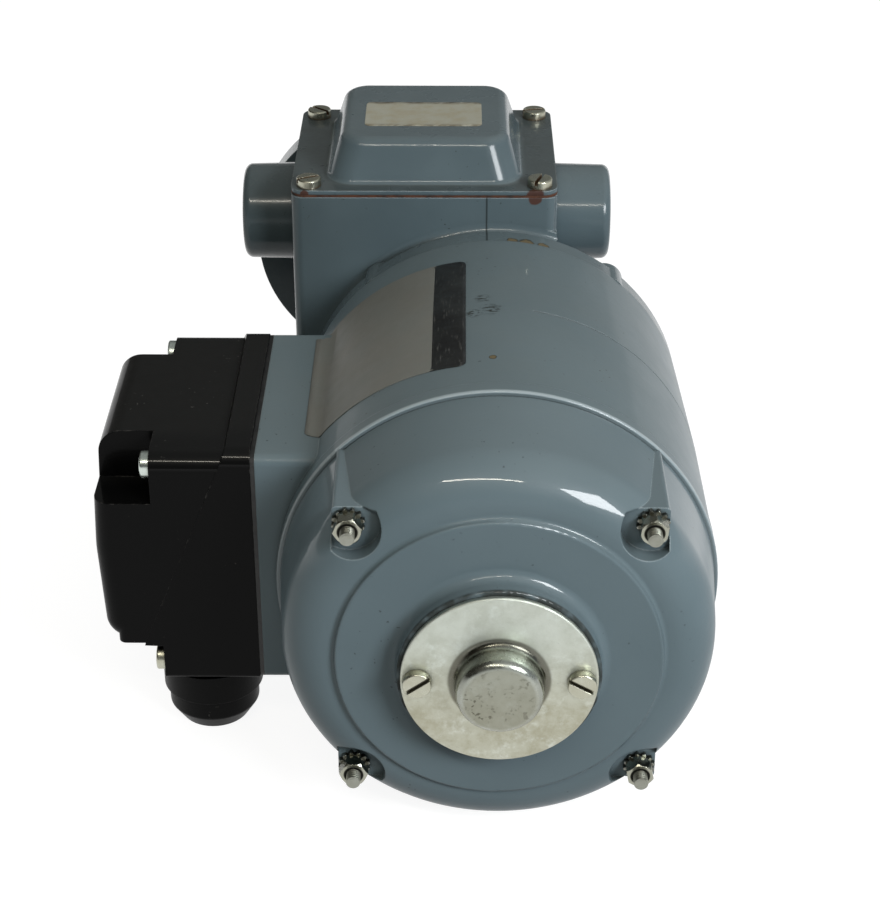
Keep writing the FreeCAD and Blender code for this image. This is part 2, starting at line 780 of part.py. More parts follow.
def gear_housing():
    x0, x1 = worm_x - box_half, worm_x + box_half
    box = slab(x0, x1, box_y, flange_y, box_corner, bottom_z, top_z)
    spigot_y = neck_y - spigot_len
    inside = box_y + box_wall
    neck = turned([(0, spigot_y), (bore_r - slip, spigot_y, break_edge), (bore_r - slip, neck_y),
                   (collar_rim_r, neck_y, break_edge), (collar_rim_r, web_y, break_edge), (neck_r, web_y),
                   (neck_r, inside), (0, inside)])
    flare_y, flare_r = box_y - neck_fillet, neck_r + neck_fillet
    flare = turned([(neck_r - neck_fillet, flare_y), (neck_r, flare_y), (neck_r, box_y, neck_fillet),
                    (flare_r, box_y), (flare_r, inside), (neck_r - neck_fillet, inside)])
    flare = flare.common(block(x0, x1, rim_y, flange_y, bottom_z, top_z))
    neck = neck.cut(block(x1, rim_r, box_y, flange_y, -rim_r, rim_r))
    neck = neck.cut(block(-rim_r, rim_r, box_y, flange_y, -rim_r, bottom_z))
    lug_x = lug_circle * math.cos(math.radians(lug_angle))
    lug_z = lug_circle * math.sin(math.radians(lug_angle))
    lugs = [rod(lug_r, neck_y, box_y - lug_end, sx * lug_x, sz * lug_z) for sx in (-1, 1) for sz in (-1, 1)]
    flange = turned([(0, flange_y), (flange_r, flange_y), (flange_r, face_y, break_edge), (0, face_y)],
                    flange_x, flange_z)
    casting = fuse(box, neck, flare, *lugs, flange, boss(-1), boss(1))
    journal, outer, width = motor_bearing
    hub_start = drive_bearing_y - recess
    casting = casting.cut(ring(bore_r - spigot_wall, outer + hub_wall, spigot_y, neck_y))
    casting = casting.fuse(ring(outer + hub_wall, outer, hub_start, neck_y))
    casting = casting.cut(rod(outer, hub_start, drive_bearing_y + width))
    casting = casting.cut(gear_chamber())
    casting = casting.cut(rod(shaft_seal_r, seal_y, web_y))
    casting = casting.cut(rod(seal_seat_r + air_gap, drive_bearing_y, web_y))
    casting = casting.cut(rod(near_bearing[1], near_bearing_y, web_y, worm_x, worm_z))
    casting = casting.cut(rod(far_bearing[1], far_bearing_y, face_y, worm_x, worm_z))
    casting = casting.cut(rod(far_bearing[1] - lip, box_y + box_len / 2, face_y, worm_x, worm_z))
    cover_seat = far_bearing_y + far_bearing[2]
    casting = casting.cut(rod(end_cover_r + slip, cover_seat, face_y, worm_x, worm_z))
    casting = casting.cut(rod_x(bush_r, left_end, right_end, out_y, out_z))
    for x, z in end_screw_places():
        casting = casting.cut(rod(end_screw_r + slip, cover_seat - end_screw_len - recess, cover_seat, x, z))
    for x, z in flange_holes():
        casting = casting.cut(rod(flange_hole_r, face_y - flange_hole_deep, face_y, x, z))
    for x, z in rod_places:
        casting = casting.cut(rod(rod_r + slip, spigot_y, web_y - rod_end, x, z))
    for x, y in cover_screw_places():
        casting = casting.cut(rod_z(screw_r + slip, top_z - cover_screw_len, top_z, x, y))
    return casting.removeSplitter()


def gasket():
    x0, x1 = worm_x - box_half, worm_x + box_half
    y0, y1 = box_y, box_y + cover_len
    sheet = slab(x0, x1, y0, y1, cover_corner, top_z, cover_z)
    opening = gear_chamber().common(block(x0, x1, y0, y1, top_z - joint_thick, top_z))
    opening.translate(V(0, 0, joint_thick))
    sheet = sheet.cut(opening)
    for x, y in cover_screw_places():
        sheet = sheet.cut(rod_z(screw_r + loose, top_z, cover_z, x, y))
    return sheet


def dome(shrink):
    """Tapered hood over the worm wheel, with its sides drawn in by shrink."""
    wires = []
    for half, length, z in ((dome_base_half, dome_base_len, plate_z), (dome_top_half, dome_top_len, dome_z)):
        x, y = half - shrink, length / 2 - shrink
        wires.append(plan(worm_x - x, worm_x + x, out_y - y, out_y + y, dome_corner - shrink, z - shrink))
    return Part.makeLoft(wires, True, True)


def top_cover():
    x0, x1 = worm_x - box_half, worm_x + box_half
    y0, y1 = box_y, box_y + cover_len
    plate = slab(x0, x1, y0, y1, cover_corner, cover_z, plate_z)
    outside = dome(0.0)
    rim = [edge for edge in outside.Edges if edge.BoundBox.ZMin > dome_z - 0.01]
    outside = outside.makeFillet(dome_edge, rim)
    cover = plate.fuse(outside)
    reach = dome_base_half + 0.01
    foot = [edge for edge in cover.Edges if abs(edge.CenterOfMass.z - plate_z) < 0.01
            and abs(edge.BoundBox.XMin - worm_x) < reach and abs(edge.BoundBox.XMax - worm_x) < reach
            and abs(edge.CenterOfMass.y - out_y) < dome_base_len / 2 + 0.01 and edge.BoundBox.ZLength < 0.01]
    cover = cover.makeFillet(dome_foot, foot).cut(dome(dome_wall))
    for x, y in cover_screw_places():
        cover = cover.cut(rod_z(screw_r + loose, cover_z, plate_z, x, y))
    return cover.removeSplitter()


def top_cover_screws():
    turns = (25, 70, -40, 10)
    length = cover_screw_len - recess
    return [placed(cheese_screw(length), V(x, y, plate_z), V(0, 0, 1), turn)
            for (x, y), turn in zip(cover_screw_places(), turns)]


def worm_end_cover():
    start = far_bearing_y + far_bearing[2]
    cover = rod(end_cover_r, start, start + end_cover_thick, worm_x, worm_z)
    cover = cover.cut(rod(far_bearing[1] - lip, start, start + recess, worm_x, worm_z))
    for x, z in end_screw_places():
        cover = cover.cut(countersunk(start, x, z, slip))
    return cover


def countersunk(start, x, z, room=0.0):
    """Countersunk screw, or its hole, flush with the end cover's outer face."""
    end = start + end_cover_thick
    radius = end_screw_r + room
    head = end_head_r + room
    tip = start - end_screw_len
    return turned([(0, tip), (radius, tip), (radius, end - head + radius), (head, end), (0, end)], x, z)


def end_screws():
    start = far_bearing_y + far_bearing[2]
    return [countersunk(start, x, z) for x, z in end_screw_places()]


# Worm shaft and its spur gear
def worm_thread():
    """Single start thread along Z, centred on z = 0 with its crest on +X there."""
    half_root = worm_lead / 4 - worm_thin / 2 + (worm_r - worm_root_r) * math.tan(pressure)
    half_tip = worm_lead / 4 - worm_thin / 2 - worm_module * math.tan(pressure)
    half_sink = half_root + worm_sink * math.tan(pressure)
    corners = [(worm_root_r - worm_sink, -half_sink), (worm_tip_r, -half_tip), (worm_tip_r, half_tip),
               (worm_root_r - worm_sink, half_sink)]
    turns = math.ceil(worm_len / worm_lead) + 1
    length = turns * worm_lead
    helix = Part.makeLongHelix(worm_lead, length, worm_r)
    section = rounded(corners, lambda r, z: V(r, 0, z))
    thread = Part.Wire(helix).makePipeShell([section], True, True)
    thread.translate(V(0, 0, -length / 2))
    thread.rotate(V(0, 0, 0), V(0, 0, 1), -360.0 * turns / 2)
    return thread


def worm_shaft():
    mid = out_y
    y0, y1 = mid - worm_len / 2, mid + worm_len / 2
    near_end = near_bearing_y + near_bearing[2]
    far_journal = far_bearing[0]
    far_end = far_bearing_y + far_bearing[2]
    seat_end = gear_y + spur_width + gear_hub_len
    shaft = turned([
        (0, near_bearing_y), (near_bearing[0], near_bearing_y, break_edge), (near_bearing[0], near_end),
        (gear_seat_r, near_end), (gear_seat_r, seat_end), (worm_neck_r, seat_end), (worm_neck_r, y0),
        (worm_root_r, y0), (worm_root_r, y1), (worm_neck_r, y1), (worm_neck_r, far_bearing_y),
        (far_journal, far_bearing_y), (far_journal, far_end, break_edge), (0, far_end)], worm_x, worm_z)
    thread = placed(worm_thread(), V(0, 0, 0), V(0, 0, 1), -90)
    thread = placed(thread, V(worm_x, mid, worm_z), V(1, 0, 0), -90)
    blank_r = worm_tip_r + worm_sink
    blank = turned([(0, y0), (worm_root_r, y0), (blank_r, y0 + worm_run_out), (blank_r, y1 - worm_run_out),
                    (worm_root_r, y1), (0, y1)], worm_x, worm_z)
    shaft = shaft.fuse(thread.common(blank))
    return shaft.cut(gear_key())


def gear_key():
    deep = key_high / 2
    mid = gear_y + (spur_width + gear_hub_len) / 2
    half = (spur_width + gear_hub_len) / 2 - key_end
    return block(worm_x - key_width / 2, worm_x + key_width / 2, mid - half, mid + half,
                 worm_z + gear_seat_r - deep, worm_z + gear_seat_r + key_high - deep)


def spur_gear():
    first = mesh_angle() + math.pi + math.pi / gear_teeth
    rim = spur_teeth(spur_module, gear_teeth, -pinion_shift, spur_thin, first,
                     gear_y, gear_y + spur_width, worm_x, worm_z)
    hub = rod(gear_hub_r, gear_y, gear_y + spur_width + gear_hub_len, worm_x, worm_z)
    gear = rim.fuse(hub).cut(rod(gear_seat_r, gear_y, gear_y + spur_width + gear_hub_len, worm_x, worm_z))
    top = worm_z + gear_seat_r + key_high / 2
    keyway = block(worm_x - key_width / 2, worm_x + key_width / 2, gear_y,
                   gear_y + spur_width + gear_hub_len, worm_z, top)
    return gear.cut(keyway)


# Output shaft and worm wheel
def wheel_wire(x, turn):
    tip_r = wheel_tip_r + wheel_over
    first = -math.pi / 2 + math.pi / wheel_teeth + turn
    corners = tooth_points(worm_module, wheel_teeth, 0.0, tip_r, worm_thin, first)
    points = [V(x, out_y + r * math.cos(a), out_z + r * math.sin(a)) for r, a in corners]
    return Part.makePolygon(points + points[:1])


def worm_wheel():
    half = wheel_width / 2
    twist = half * worm_lead / (2 * math.pi * worm_r) / wheel_r
    ends = [wheel_wire(worm_x - half, -twist), wheel_wire(worm_x + half, twist)]
    teeth = Part.makeLoft(ends, True, True)
    throat_r = worm_r + wheel_r - wheel_tip_r
    outer = wheel_tip_r + wheel_over
    blank = rod_x(outer, worm_x - half, worm_x + half, out_y, out_z)
    groove = Part.makeTorus(worm_r + wheel_r, throat_r, V(worm_x, out_y, out_z), V(1, 0, 0))
    wheel = teeth.common(blank.cut(groove))
    hub = rod_x(wheel_hub_r, worm_x - wheel_hub_half, worm_x + wheel_hub_half, out_y, out_z)
    rim_in = wheel_r - dedendum * worm_module - wheel_rim
    for side in (-1, 1):
        face = worm_x + side * half
        web = worm_x + side * wheel_web / 2
        hollow = rod_x(rim_in, min(face, web), max(face, web), out_y, out_z)
        wheel = wheel.cut(hollow)
    wheel = wheel.fuse(hub)
    wheel = wheel.cut(rod_x(sleeve_r, worm_x - wheel_hub_half, worm_x + wheel_hub_half, out_y, out_z))
    top = out_z + sleeve_r + key_high / 2
    keyway = block(worm_x - wheel_hub_half, worm_x + wheel_hub_half, out_y - key_width / 2,
                   out_y + key_width / 2, out_z, top)
    return wheel.cut(keyway)


def wheel_key():
    half = wheel_hub_half - key_end
    low = out_z + sleeve_r - key_high / 2
    return block(worm_x - half, worm_x + half, out_y - key_width / 2, out_y + key_width / 2,
                 low, low + key_high)


def output_sleeve():
    x0, x1 = left_end + end_recess, right_end - end_recess
    corners = [(out_bore_r, x0), (sleeve_r, x0), (sleeve_r, x1), (out_bore_r, x1)]
    sleeve = turned_x([(r, x, break_edge) for r, x in corners], out_y, out_z)
    keyway = block(x0, x1, out_y - bore_key_width / 2, out_y + bore_key_width / 2,
                   out_z - out_bore_r - bore_key_deep, out_z)
    sleeve = sleeve.cut(keyway).cut(wheel_key())
    for start in clip_starts():
        groove = rod_x(sleeve_r + 1, start, start + clip_thick, out_y, out_z)
        groove = groove.cut(rod_x(sleeve_r - clip_deep, start, start + clip_thick, out_y, out_z))
        sleeve = sleeve.cut(groove)
    return sleeve


def clip_starts():
    return worm_x - wheel_hub_half - clip_thick, worm_x + wheel_hub_half


def sleeve_circlips():
    clips = []
    for start in clip_starts():
        outer = rod_x(sleeve_r + clip_high, start, start + clip_thick, out_y, out_z)
        clip = outer.cut(rod_x(sleeve_r - clip_deep, start, start + clip_thick, out_y, out_z))
        gap = block(start, start + clip_thick, out_y - clip_gap / 2, out_y + clip_gap / 2,
                    out_z - 2 * sleeve_r, out_z)
        clips.append(clip.cut(gap))
    return clips


def output_spacers():
    inner = box_half - box_wall - bush_flange - end_play
    start = wheel_hub_half + clip_thick
    spans = ((worm_x - inner, worm_x - start), (worm_x + start, worm_x + inner))
    return [rod_x(spacer_r, a, b, out_y, out_z).cut(rod_x(sleeve_r + slip, a, b, out_y, out_z))
            for a, b in spans]


def output_bushes():
    bushes = []
    for side, end in ((-1, left_end), (1, right_end)):
        wall = worm_x + side * (box_half - box_wall)
        inner = wall - side * bush_flange
        outer = end - side * (end_recess + seal_len)
        bushes.append(turned_x([(sleeve_r + running, inner), (bush_flange_r, inner), (bush_flange_r, wall),
                                (bush_r, wall), (bush_r, outer), (sleeve_r + running, outer)], out_y, out_z))
    return bushes


def output_seals():
    seals = []
    for side, end in ((-1, left_end), (1, right_end)):
        outer = end - side * end_recess
        inner = outer - side * seal_len
        lip_r = sleeve_r + seal_gap
        seals.append(turned_x([(lip_r, inner), (bush_r, inner), (bush_r, outer), (lip_r + break_edge, outer),
                               (lip_r, outer - side * break_edge)], out_y, out_z))
    return seals


# Terminal box
def terminal_screws():
    return [(terminal_y + side * terminal_screw_y, z) for z in (terminal_screw_z, -terminal_screw_low)
            for side in (-1, 1)]


def base_outline(inset):
    """Corners of the base in x and z, with its walls moved inwards by inset."""
    slope = (base_low - base_top) / (pedestal_half + base_rise - base_low_z)
    back = base_x - inset
    top = pedestal_half + base_rise - inset
    ledge_x = base_x - ledge_depth + inset
    return [(back, top), (base_x - base_top - inset * slope, top),
            (base_x - base_low + inset * slope, base_low_z + inset), (ledge_x, ledge_z + inset),
            (ledge_x, inset - pedestal_low), (back, inset - pedestal_low)]


def terminal_window(x0, x1):
    half = window_len / 2
    return block(x0, x1, terminal_y - half, terminal_y + half, window_z - window_high / 2,
                 window_z + window_high / 2)


def gland_centre():
    return base_x - gland_x, terminal_y - gland_y


def terminal_box_gasket():
    y0, y1 = pedestal_y, pedestal_y + pedestal_len
    sheet = block(base_x, -pedestal_x, y0, y1, -pedestal_low, pedestal_half)
    edges = [edge for edge in sheet.Edges if edge.BoundBox.XLength > box_joint / 2]
    sheet = sheet.makeFillet(pedestal_corner, edges).cut(terminal_window(base_x, -pedestal_x))
    for y, z in terminal_screws():
        sheet = sheet.cut(rod_x(screw_r + loose, base_x, -pedestal_x, y, z))
    return sheet


def terminal_box_base():
    y0, y1 = pedestal_y, pedestal_y + pedestal_len
    base = side_prism(base_outline(0.0), y0, y1)
    along = [edge for edge in base.Edges if edge.BoundBox.XLength > base_top / 2
             and edge.BoundBox.YLength < slip and edge.BoundBox.ZLength < slip]
    base = base.makeFillet(base_top_edge, [edge for edge in along if edge.CenterOfMass.z > 0])
    along = [edge for edge in base.Edges if edge.BoundBox.ZMax < slip - pedestal_low
             and edge.BoundBox.YLength < slip]
    base = base.makeFillet(base_low_edge, along)
    room = side_prism(base_outline(lid_wall), y0 + lid_wall, y1 - lid_wall)
    open_side = room.copy()
    open_side.translate(V(-2 * lid_wall, 0, 0))
    room = room.fuse(open_side)
    for y, z in terminal_screws():
        side = math.copysign(post_half, y - terminal_y)
        up = math.copysign(post_half, z)
        ys, zs = sorted((y - side, y + 2 * side)), sorted((z - up, z + 2 * up))
        room = room.cut(block(base_x - 2 * base_low, base_x, ys[0], ys[1], zs[0], zs[1]))
    for side in (-1, 1):
        rail_y = board_y + side * board_len / 3
        rail = block(board_face(), base_x, rail_y - rail_width / 2, rail_y + rail_width / 2,
                     board_z - board_high / 2, board_z + board_high / 2)
        room = room.cut(rail)
    base = base.cut(room).cut(terminal_window(base_x - 2 * lid_wall, base_x))
    x, y = gland_centre()
    low = -pedestal_low
    base = base.cut(rod_z(gland_thread_r + slip, low, low + lid_wall + gland_inside, x, y))
    for y, z in terminal_screws():
        base = base.cut(rod_x(screw_r + loose, base_x - 2 * base_low, base_x, y, z))
    return base.removeSplitter()


def lid_outline(inset):
    outer = base_x - lid_x + inset
    crown = outer - lid_crown
    top = pedestal_half - inset
    low = lid_low_z + inset
    edge = max(lid_edge - inset, break_edge)
    corners = base_outline(0.0)
    return [(corners[1][0], top), (outer, top, edge), (crown, (top + low) / 2, lid_crown_r),
            (outer, low, edge), (corners[2][0] + lid_wall, low)]


def terminal_box_cover():
    y0, y1 = pedestal_y, pedestal_y + pedestal_len
    seat = side_prism(base_outline(0.0), y0, y1)
    lid = side_prism(lid_outline(0.0), y0, y1)
    inner_x = base_outline(0.0)[2][0]
    rims = [edge for edge in lid.Edges if edge.BoundBox.YLength < slip
            and (edge.BoundBox.XMin < inner_x - slip or edge.BoundBox.ZMin > pedestal_half - slip)]
    lid = lid.makeFillet(lid_side_edge, rims)
    lip = block(inner_x - lid_lip, inner_x + lid_wall, y0, y1, lid_low_z, lid_low_z + lid_side_edge)
    lip = lip.makeFillet(lid_lip_edge, [edge for edge in lip.Edges if edge.BoundBox.ZLength > 1
                                        and edge.CenterOfMass.x < inner_x - slip])
    lid = lid.fuse(lip)
    room = side_prism(lid_outline(lid_wall), y0 + lid_wall, y1 - lid_wall)
    for y, z in terminal_screws()[:2]:
        side = math.copysign(1, y - terminal_y)
        edge_y = y0 if side < 0 else y1
        ys = sorted((edge_y, edge_y - side * notch))
        wall = sorted((edge_y, edge_y - side * (notch + lid_wall)))
        seat_x = base_x - notch_floor
        room = room.cut(block(base_x - 2 * lid_x, base_x, wall[0], wall[1],
                              pedestal_half - notch - lid_wall, pedestal_half))
        lid = lid.cut(block(base_x - 2 * lid_x, seat_x, ys[0], ys[1], pedestal_half - notch, pedestal_half))
    lid = lid.cut(room).cut(seat)
    for y, z in terminal_screws()[:2]:
        lid = lid.cut(rod_x(screw_r + loose, base_x - lid_x, base_x, y, z))
    return lid.removeSplitter()


def terminal_cover_screws():
    seat = base_x - notch_floor
    length = terminal_screw_bite - pedestal_x - seat
    return [facing_left(cheese_screw(length, turn), seat, y, z)
            for (y, z), turn in zip(terminal_screws()[:2], (35, 80))]


def terminal_base_screws():
    seat = base_x - ledge_depth
    length = terminal_screw_bite - pedestal_x - seat
    return [facing_left(cheese_screw(length, turn), seat, y, z)
            for (y, z), turn in zip(terminal_screws()[2:], (10, 55))]


def board_face():
    return base_x - lid_wall - rail_high


def stud_places():
    offsets = [(i - (stud_count - 1) / 2) * stud_pitch for i in range(stud_count)]
    return [(board_y + offset, board_z + side * stud_row) for side in (-1, 1) for offset in offsets]


def terminal_board():
    x1 = board_face()
    x0 = x1 - board_thick
    board = block(x0, x1, board_y - board_len / 2, board_y + board_len / 2,
                  board_z - board_high / 2, board_z + board_high / 2)
    edges = [edge for edge in board.Edges if edge.BoundBox.XLength > board_thick / 2]
    board = board.makeFillet(board_corner, edges)
    for y, z in stud_places():
        board = board.cut(rod_x(stud_r, x0, x1, y, z))
    return board


def terminal_studs():
    x1 = board_face()
    return [turned_x([(0, x1), (stud_r, x1), (stud_r, x1 - stud_len, break_edge), (0, x1 - stud_len)], y, z)
            for y, z in stud_places()]


def terminal_links():
    x1 = board_face() - board_thick
    half = link_width / 2
    links = []
    for y, z in stud_places()[:stud_count]:
        link = block(x1 - link_thick, x1, y - half, y + half, z - half, z + 2 * stud_row + half)
        for hole_z in (z, z + 2 * stud_row):
            link = link.cut(rod_x(stud_r + slip, x1 - link_thick, x1, y, hole_z))
        links.append(link)
    return links


def terminal_nuts():
    x1 = board_face() - board_thick - link_thick
    nut = hex_nut(stud_r + slip, stud_nut_flats, nut_thick)
    return [facing_left(nut, x1, y, z) for y, z in stud_places()]


# Cable gland
def gland_body():
    x, y = gland_centre()
    low = -pedestal_low
    top = low + lid_wall + gland_inside
    end = low - gland_nut_len + gland_floor + seal_out
    bore = cable_r + seal_wall + slip
    collar = gland_r - gland_step
    return turned_z([(bore, top), (gland_thread_r, top), (gland_thread_r, low), (collar, low),
                     (collar, low - gland_collar), (gland_thread_r, low - gland_collar),
                     (gland_thread_r, end), (bore, end)], x, y)


def gland_seal():
    x, y = gland_centre()
    end = gland_floor - gland_nut_len - pedestal_low
    top = end + seal_high
    outer = cable_r + seal_wall
    return turned_z([(cable_r, top), (outer, top), (outer, end), (cable_r, end)], x, y)


def gland_nut():
    x, y = gland_centre()
    top = -pedestal_low - gland_collar
    grip = -pedestal_low - gland_grip
    waist = -pedestal_low - gland_nut_len
    tip = waist - gland_cone
    bore = gland_thread_r + slip
    floor = waist + gland_floor
    mouth = cable_r + break_edge
    neck = gland_r - gland_step
    return turned_z([(bore, top), (gland_grip_r, top, break_edge), (gland_grip_r, grip), (neck, grip),
                     (neck, grip - gland_groove), (gland_r, grip - gland_groove), (gland_r, waist, gland_edge),
                     (gland_mouth_r, tip, break_edge), (mouth, tip), (mouth, floor), (bore, floor)], x, y)


def main():
    os.makedirs("parts", exist_ok=True)
    rear_outer, rear_inner = bearing(motor_bearing, rear_bearing_y)
    drive_outer, drive_inner = bearing(motor_bearing, drive_bearing_y)
    near_outer, near_inner = bearing(near_bearing, near_bearing_y, worm_x, worm_z)
    far_outer, far_inner = bearing(far_bearing, far_bearing_y, worm_x, worm_z)

    save("rear_end_shield", rear_end_shield())
    save("bearing_cap", bearing_cap())
    save("bearing_cap_screws", *cap_screws())
    save("wave_spring", wave_spring())
    save("tie_rods", *tie_rods())
    save("tie_rod_nuts", *tie_rod_nuts())
    save("tooth_lock_washers", *tooth_lock_washers())
    save("stator_housing", stator_housing())
    save("stator_core", stator_core())
    save("stator_winding", stator_winding())
    save("rear_bearing_outer", rear_outer)
    save("drive_bearing_outer", drive_outer)
    save("shaft_seal", shaft_seal())

    save("rotor_shaft", rotor_shaft())
    save("rotor_core", rotor_core())
    save("rotor_cage", rotor_cage())
    save("rear_bearing_inner", rear_inner)
    save("drive_bearing_inner", drive_inner)

    save("gear_housing", gear_housing())
    save("top_cover_gasket", gasket())
    save("top_cover", top_cover())
    save("top_cover_screws", *top_cover_screws())
    save("worm_bearing_near_outer", near_outer)
    save("worm_bearing_far_outer", far_outer)
    save("worm_end_cover", worm_end_cover())
    save("worm_end_screws", *end_screws())
    save("output_bushes", *output_bushes())
    save("output_seals", *output_seals())

    save("worm_shaft", worm_shaft())
    save("spur_gear", spur_gear())
    save("spur_gear_key", gear_key())
    save("worm_bearing_near_inner", near_inner)
    save("worm_bearing_far_inner", far_inner)

    save("worm_wheel", worm_wheel())
    save("output_sleeve", output_sleeve())
    save("wheel_key", wheel_key())
    save("sleeve_circlips", *sleeve_circlips())
    save("output_spacers", *output_spacers())

    save("terminal_box_gasket", terminal_box_gasket())
    save("terminal_box_base", terminal_box_base())
    save("terminal_box_cover", terminal_box_cover())
    save("terminal_cover_screws", *terminal_cover_screws())
    save("terminal_base_screws", *terminal_base_screws())
    save("terminal_board", terminal_board())
    save("terminal_studs", *terminal_studs())
    save("terminal_links", *terminal_links())
    save("terminal_nuts", *terminal_nuts())
    save("gland_body", gland_body())
    save("gland_seal", gland_seal())
    save("gland_nut", gland_nut())


main()
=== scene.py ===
import bmesh
import bpy
import math
from mathutils import Euler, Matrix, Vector


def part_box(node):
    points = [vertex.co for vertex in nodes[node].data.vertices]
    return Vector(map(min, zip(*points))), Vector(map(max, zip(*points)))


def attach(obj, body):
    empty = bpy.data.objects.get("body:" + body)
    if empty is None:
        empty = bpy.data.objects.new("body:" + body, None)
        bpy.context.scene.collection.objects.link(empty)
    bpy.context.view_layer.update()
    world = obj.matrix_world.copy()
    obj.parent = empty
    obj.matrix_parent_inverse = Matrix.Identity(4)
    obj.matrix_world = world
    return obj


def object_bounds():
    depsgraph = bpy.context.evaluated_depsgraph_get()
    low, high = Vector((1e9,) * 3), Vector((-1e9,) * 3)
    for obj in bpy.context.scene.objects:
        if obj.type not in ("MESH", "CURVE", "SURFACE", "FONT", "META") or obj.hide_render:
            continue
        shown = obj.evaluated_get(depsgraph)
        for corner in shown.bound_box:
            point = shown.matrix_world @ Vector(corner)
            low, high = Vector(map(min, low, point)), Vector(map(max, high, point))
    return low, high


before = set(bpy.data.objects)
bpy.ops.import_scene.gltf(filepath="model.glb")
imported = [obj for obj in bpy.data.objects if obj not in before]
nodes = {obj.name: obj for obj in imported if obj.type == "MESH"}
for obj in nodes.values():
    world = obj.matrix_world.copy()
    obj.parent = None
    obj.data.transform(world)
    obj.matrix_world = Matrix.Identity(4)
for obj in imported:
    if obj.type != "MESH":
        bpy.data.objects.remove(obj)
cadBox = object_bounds()
print("frame loaded:", len(nodes), "pieces")


# shader writing
class Flow:
    def __init__(self, finish, socket):
        self.finish, self.socket = finish, socket

    def maths(self, operation, first, second):
        return self.finish.node("Math", {"operation": operation}, {0: first, 1: second})

    def __add__(self, other): return self.maths("ADD", self, other)
    def __radd__(self, other): return self.maths("ADD", other, self)
    def __sub__(self, other): return self.maths("SUBTRACT", self, other)
    def __rsub__(self, other): return self.maths("SUBTRACT", other, self)
    def __mul__(self, other): return self.maths("MULTIPLY", self, other)
    def __rmul__(self, other): return self.maths("MULTIPLY", other, self)
    def __abs__(self): return self.maths("ABSOLUTE", self, 0.0)


class Finish:
    def __init__(self, name, tree=None):
        if tree is None:
            self.material = bpy.data.materials.new(name)
            self.material.use_nodes = True
            tree = self.material.node_tree
        self.tree = tree
        self.kept = {}

    def node(self, kind, settings=None, sockets=None, out=0):
        made = self.tree.nodes.new("ShaderNode" + kind)
        for name, value in (settings or {}).items():
            setattr(made, name, value)
        for name, value in (sockets or {}).items():
            if isinstance(value, Flow):
                self.tree.links.new(value.socket, made.inputs[name])
            else:
                made.inputs[name].default_value = value
        return Flow(self, made.outputs[out])

    def shader(self, **sockets):                # Principled BSDF, sockets by name with _ for a space
        bsdf = self.tree.nodes["Principled BSDF"]
        for name, value in sockets.items():
            target = bsdf.inputs[name.replace("_", " ")]
            if isinstance(value, Flow):
                self.tree.links.new(value.socket, target)
            else:
                target.default_value = value
        return self.material

    def place(self):
        if "place" not in self.kept:
            self.kept["place"] = self.node("TexCoord", out="Object")
        return self.kept["place"]

    def along(self, axis):
        if axis not in self.kept:
            self.kept[axis] = self.node("SeparateXYZ", sockets={0: self.place()}, out=axis)
        return self.kept[axis]

    def upward(self):
        if "up" not in self.kept:
            normal = self.node("NewGeometry", out="Normal")
            self.kept["up"] = self.node("SeparateXYZ", sockets={0: normal}, out="Z")
        return self.kept["up"]

    def noise(self, size, detail=2.0, rough=0.5, stretch=None):       # size of a blot in metres
        where = self.place()
        if stretch:
            where = self.vector("MULTIPLY", where, stretch)
        return self.node("TexNoise", sockets={"Vector": where, "Scale": 1 / size, "Detail": detail,
                                              "Roughness": rough})

    def step(self, value, low, high):           # smooth rise from 0 at low to 1 at high
        return self.node("MapRange", {"interpolation_type": "SMOOTHSTEP"},
                         {0: value, 1: low, 2: high, 3: 0.0, 4: 1.0})

    def vector(self, operation, first, second, out=0):
        return self.node("VectorMath", {"operation": operation}, {0: first, 1: second}, out)

    def near(self, centre, radius, edge):       # 1 at a spot's centre, 0 beyond its radius
        away = self.vector("DISTANCE", self.place(), centre, "Value")
        return self.step(away, radius, radius * (1 - edge))

    def away(self, axis):                       # distance from a line along Y
        flat = self.vector("MULTIPLY", self.place(), (1, 0, 1))
        return self.vector("DISTANCE", flat, (axis[0], 0, axis[1]), "Value")

    def blend(self, mask, first, second):       # two colours
        return self.node("Mix", {"data_type": "RGBA"}, {0: mask, 6: first, 7: second}, 2)

    def crevice(self, reach):                   # 0 in the open, rising in corners
        return 1.0 - self.node("AmbientOcclusion", {"samples": 6}, {"Distance": reach}, "AO")

    def softEdge(self, radius):                 # normal with rounded edges
        return self.node("Bevel", {"samples": 4}, {"Radius": radius})

    def sharpEdges(self, soft):                       # 0 on flats, rising on sharp edges
        normal = self.node("NewGeometry", out="Normal")
        return 1.0 - self.vector("DOT_PRODUCT", soft, normal, "Value")

    def bump(self, height, depth, normal=None):
        sockets = {"Height": height, "Distance": depth, "Strength": 1.0}
        if normal:
            sockets["Normal"] = normal
        return self.node("Bump", sockets=sockets)


def srgb(*shade):                               # 0 to 255 each, to the renderer's linear colour
    low = 11                                    # below this the curve is a straight line
    linear = [c / 255 / 12.92 if c < low else ((c / 255 + 0.055) / 1.055) ** 2.4 for c in shade]
    return (*linear, 1.0)


def dress(material, *names):
    for name in names:
        slots = nodes[name].data.materials
        slots.clear()
        slots.append(material)


axle = (0.01875, -0.042457)                     # motor axis in x and z

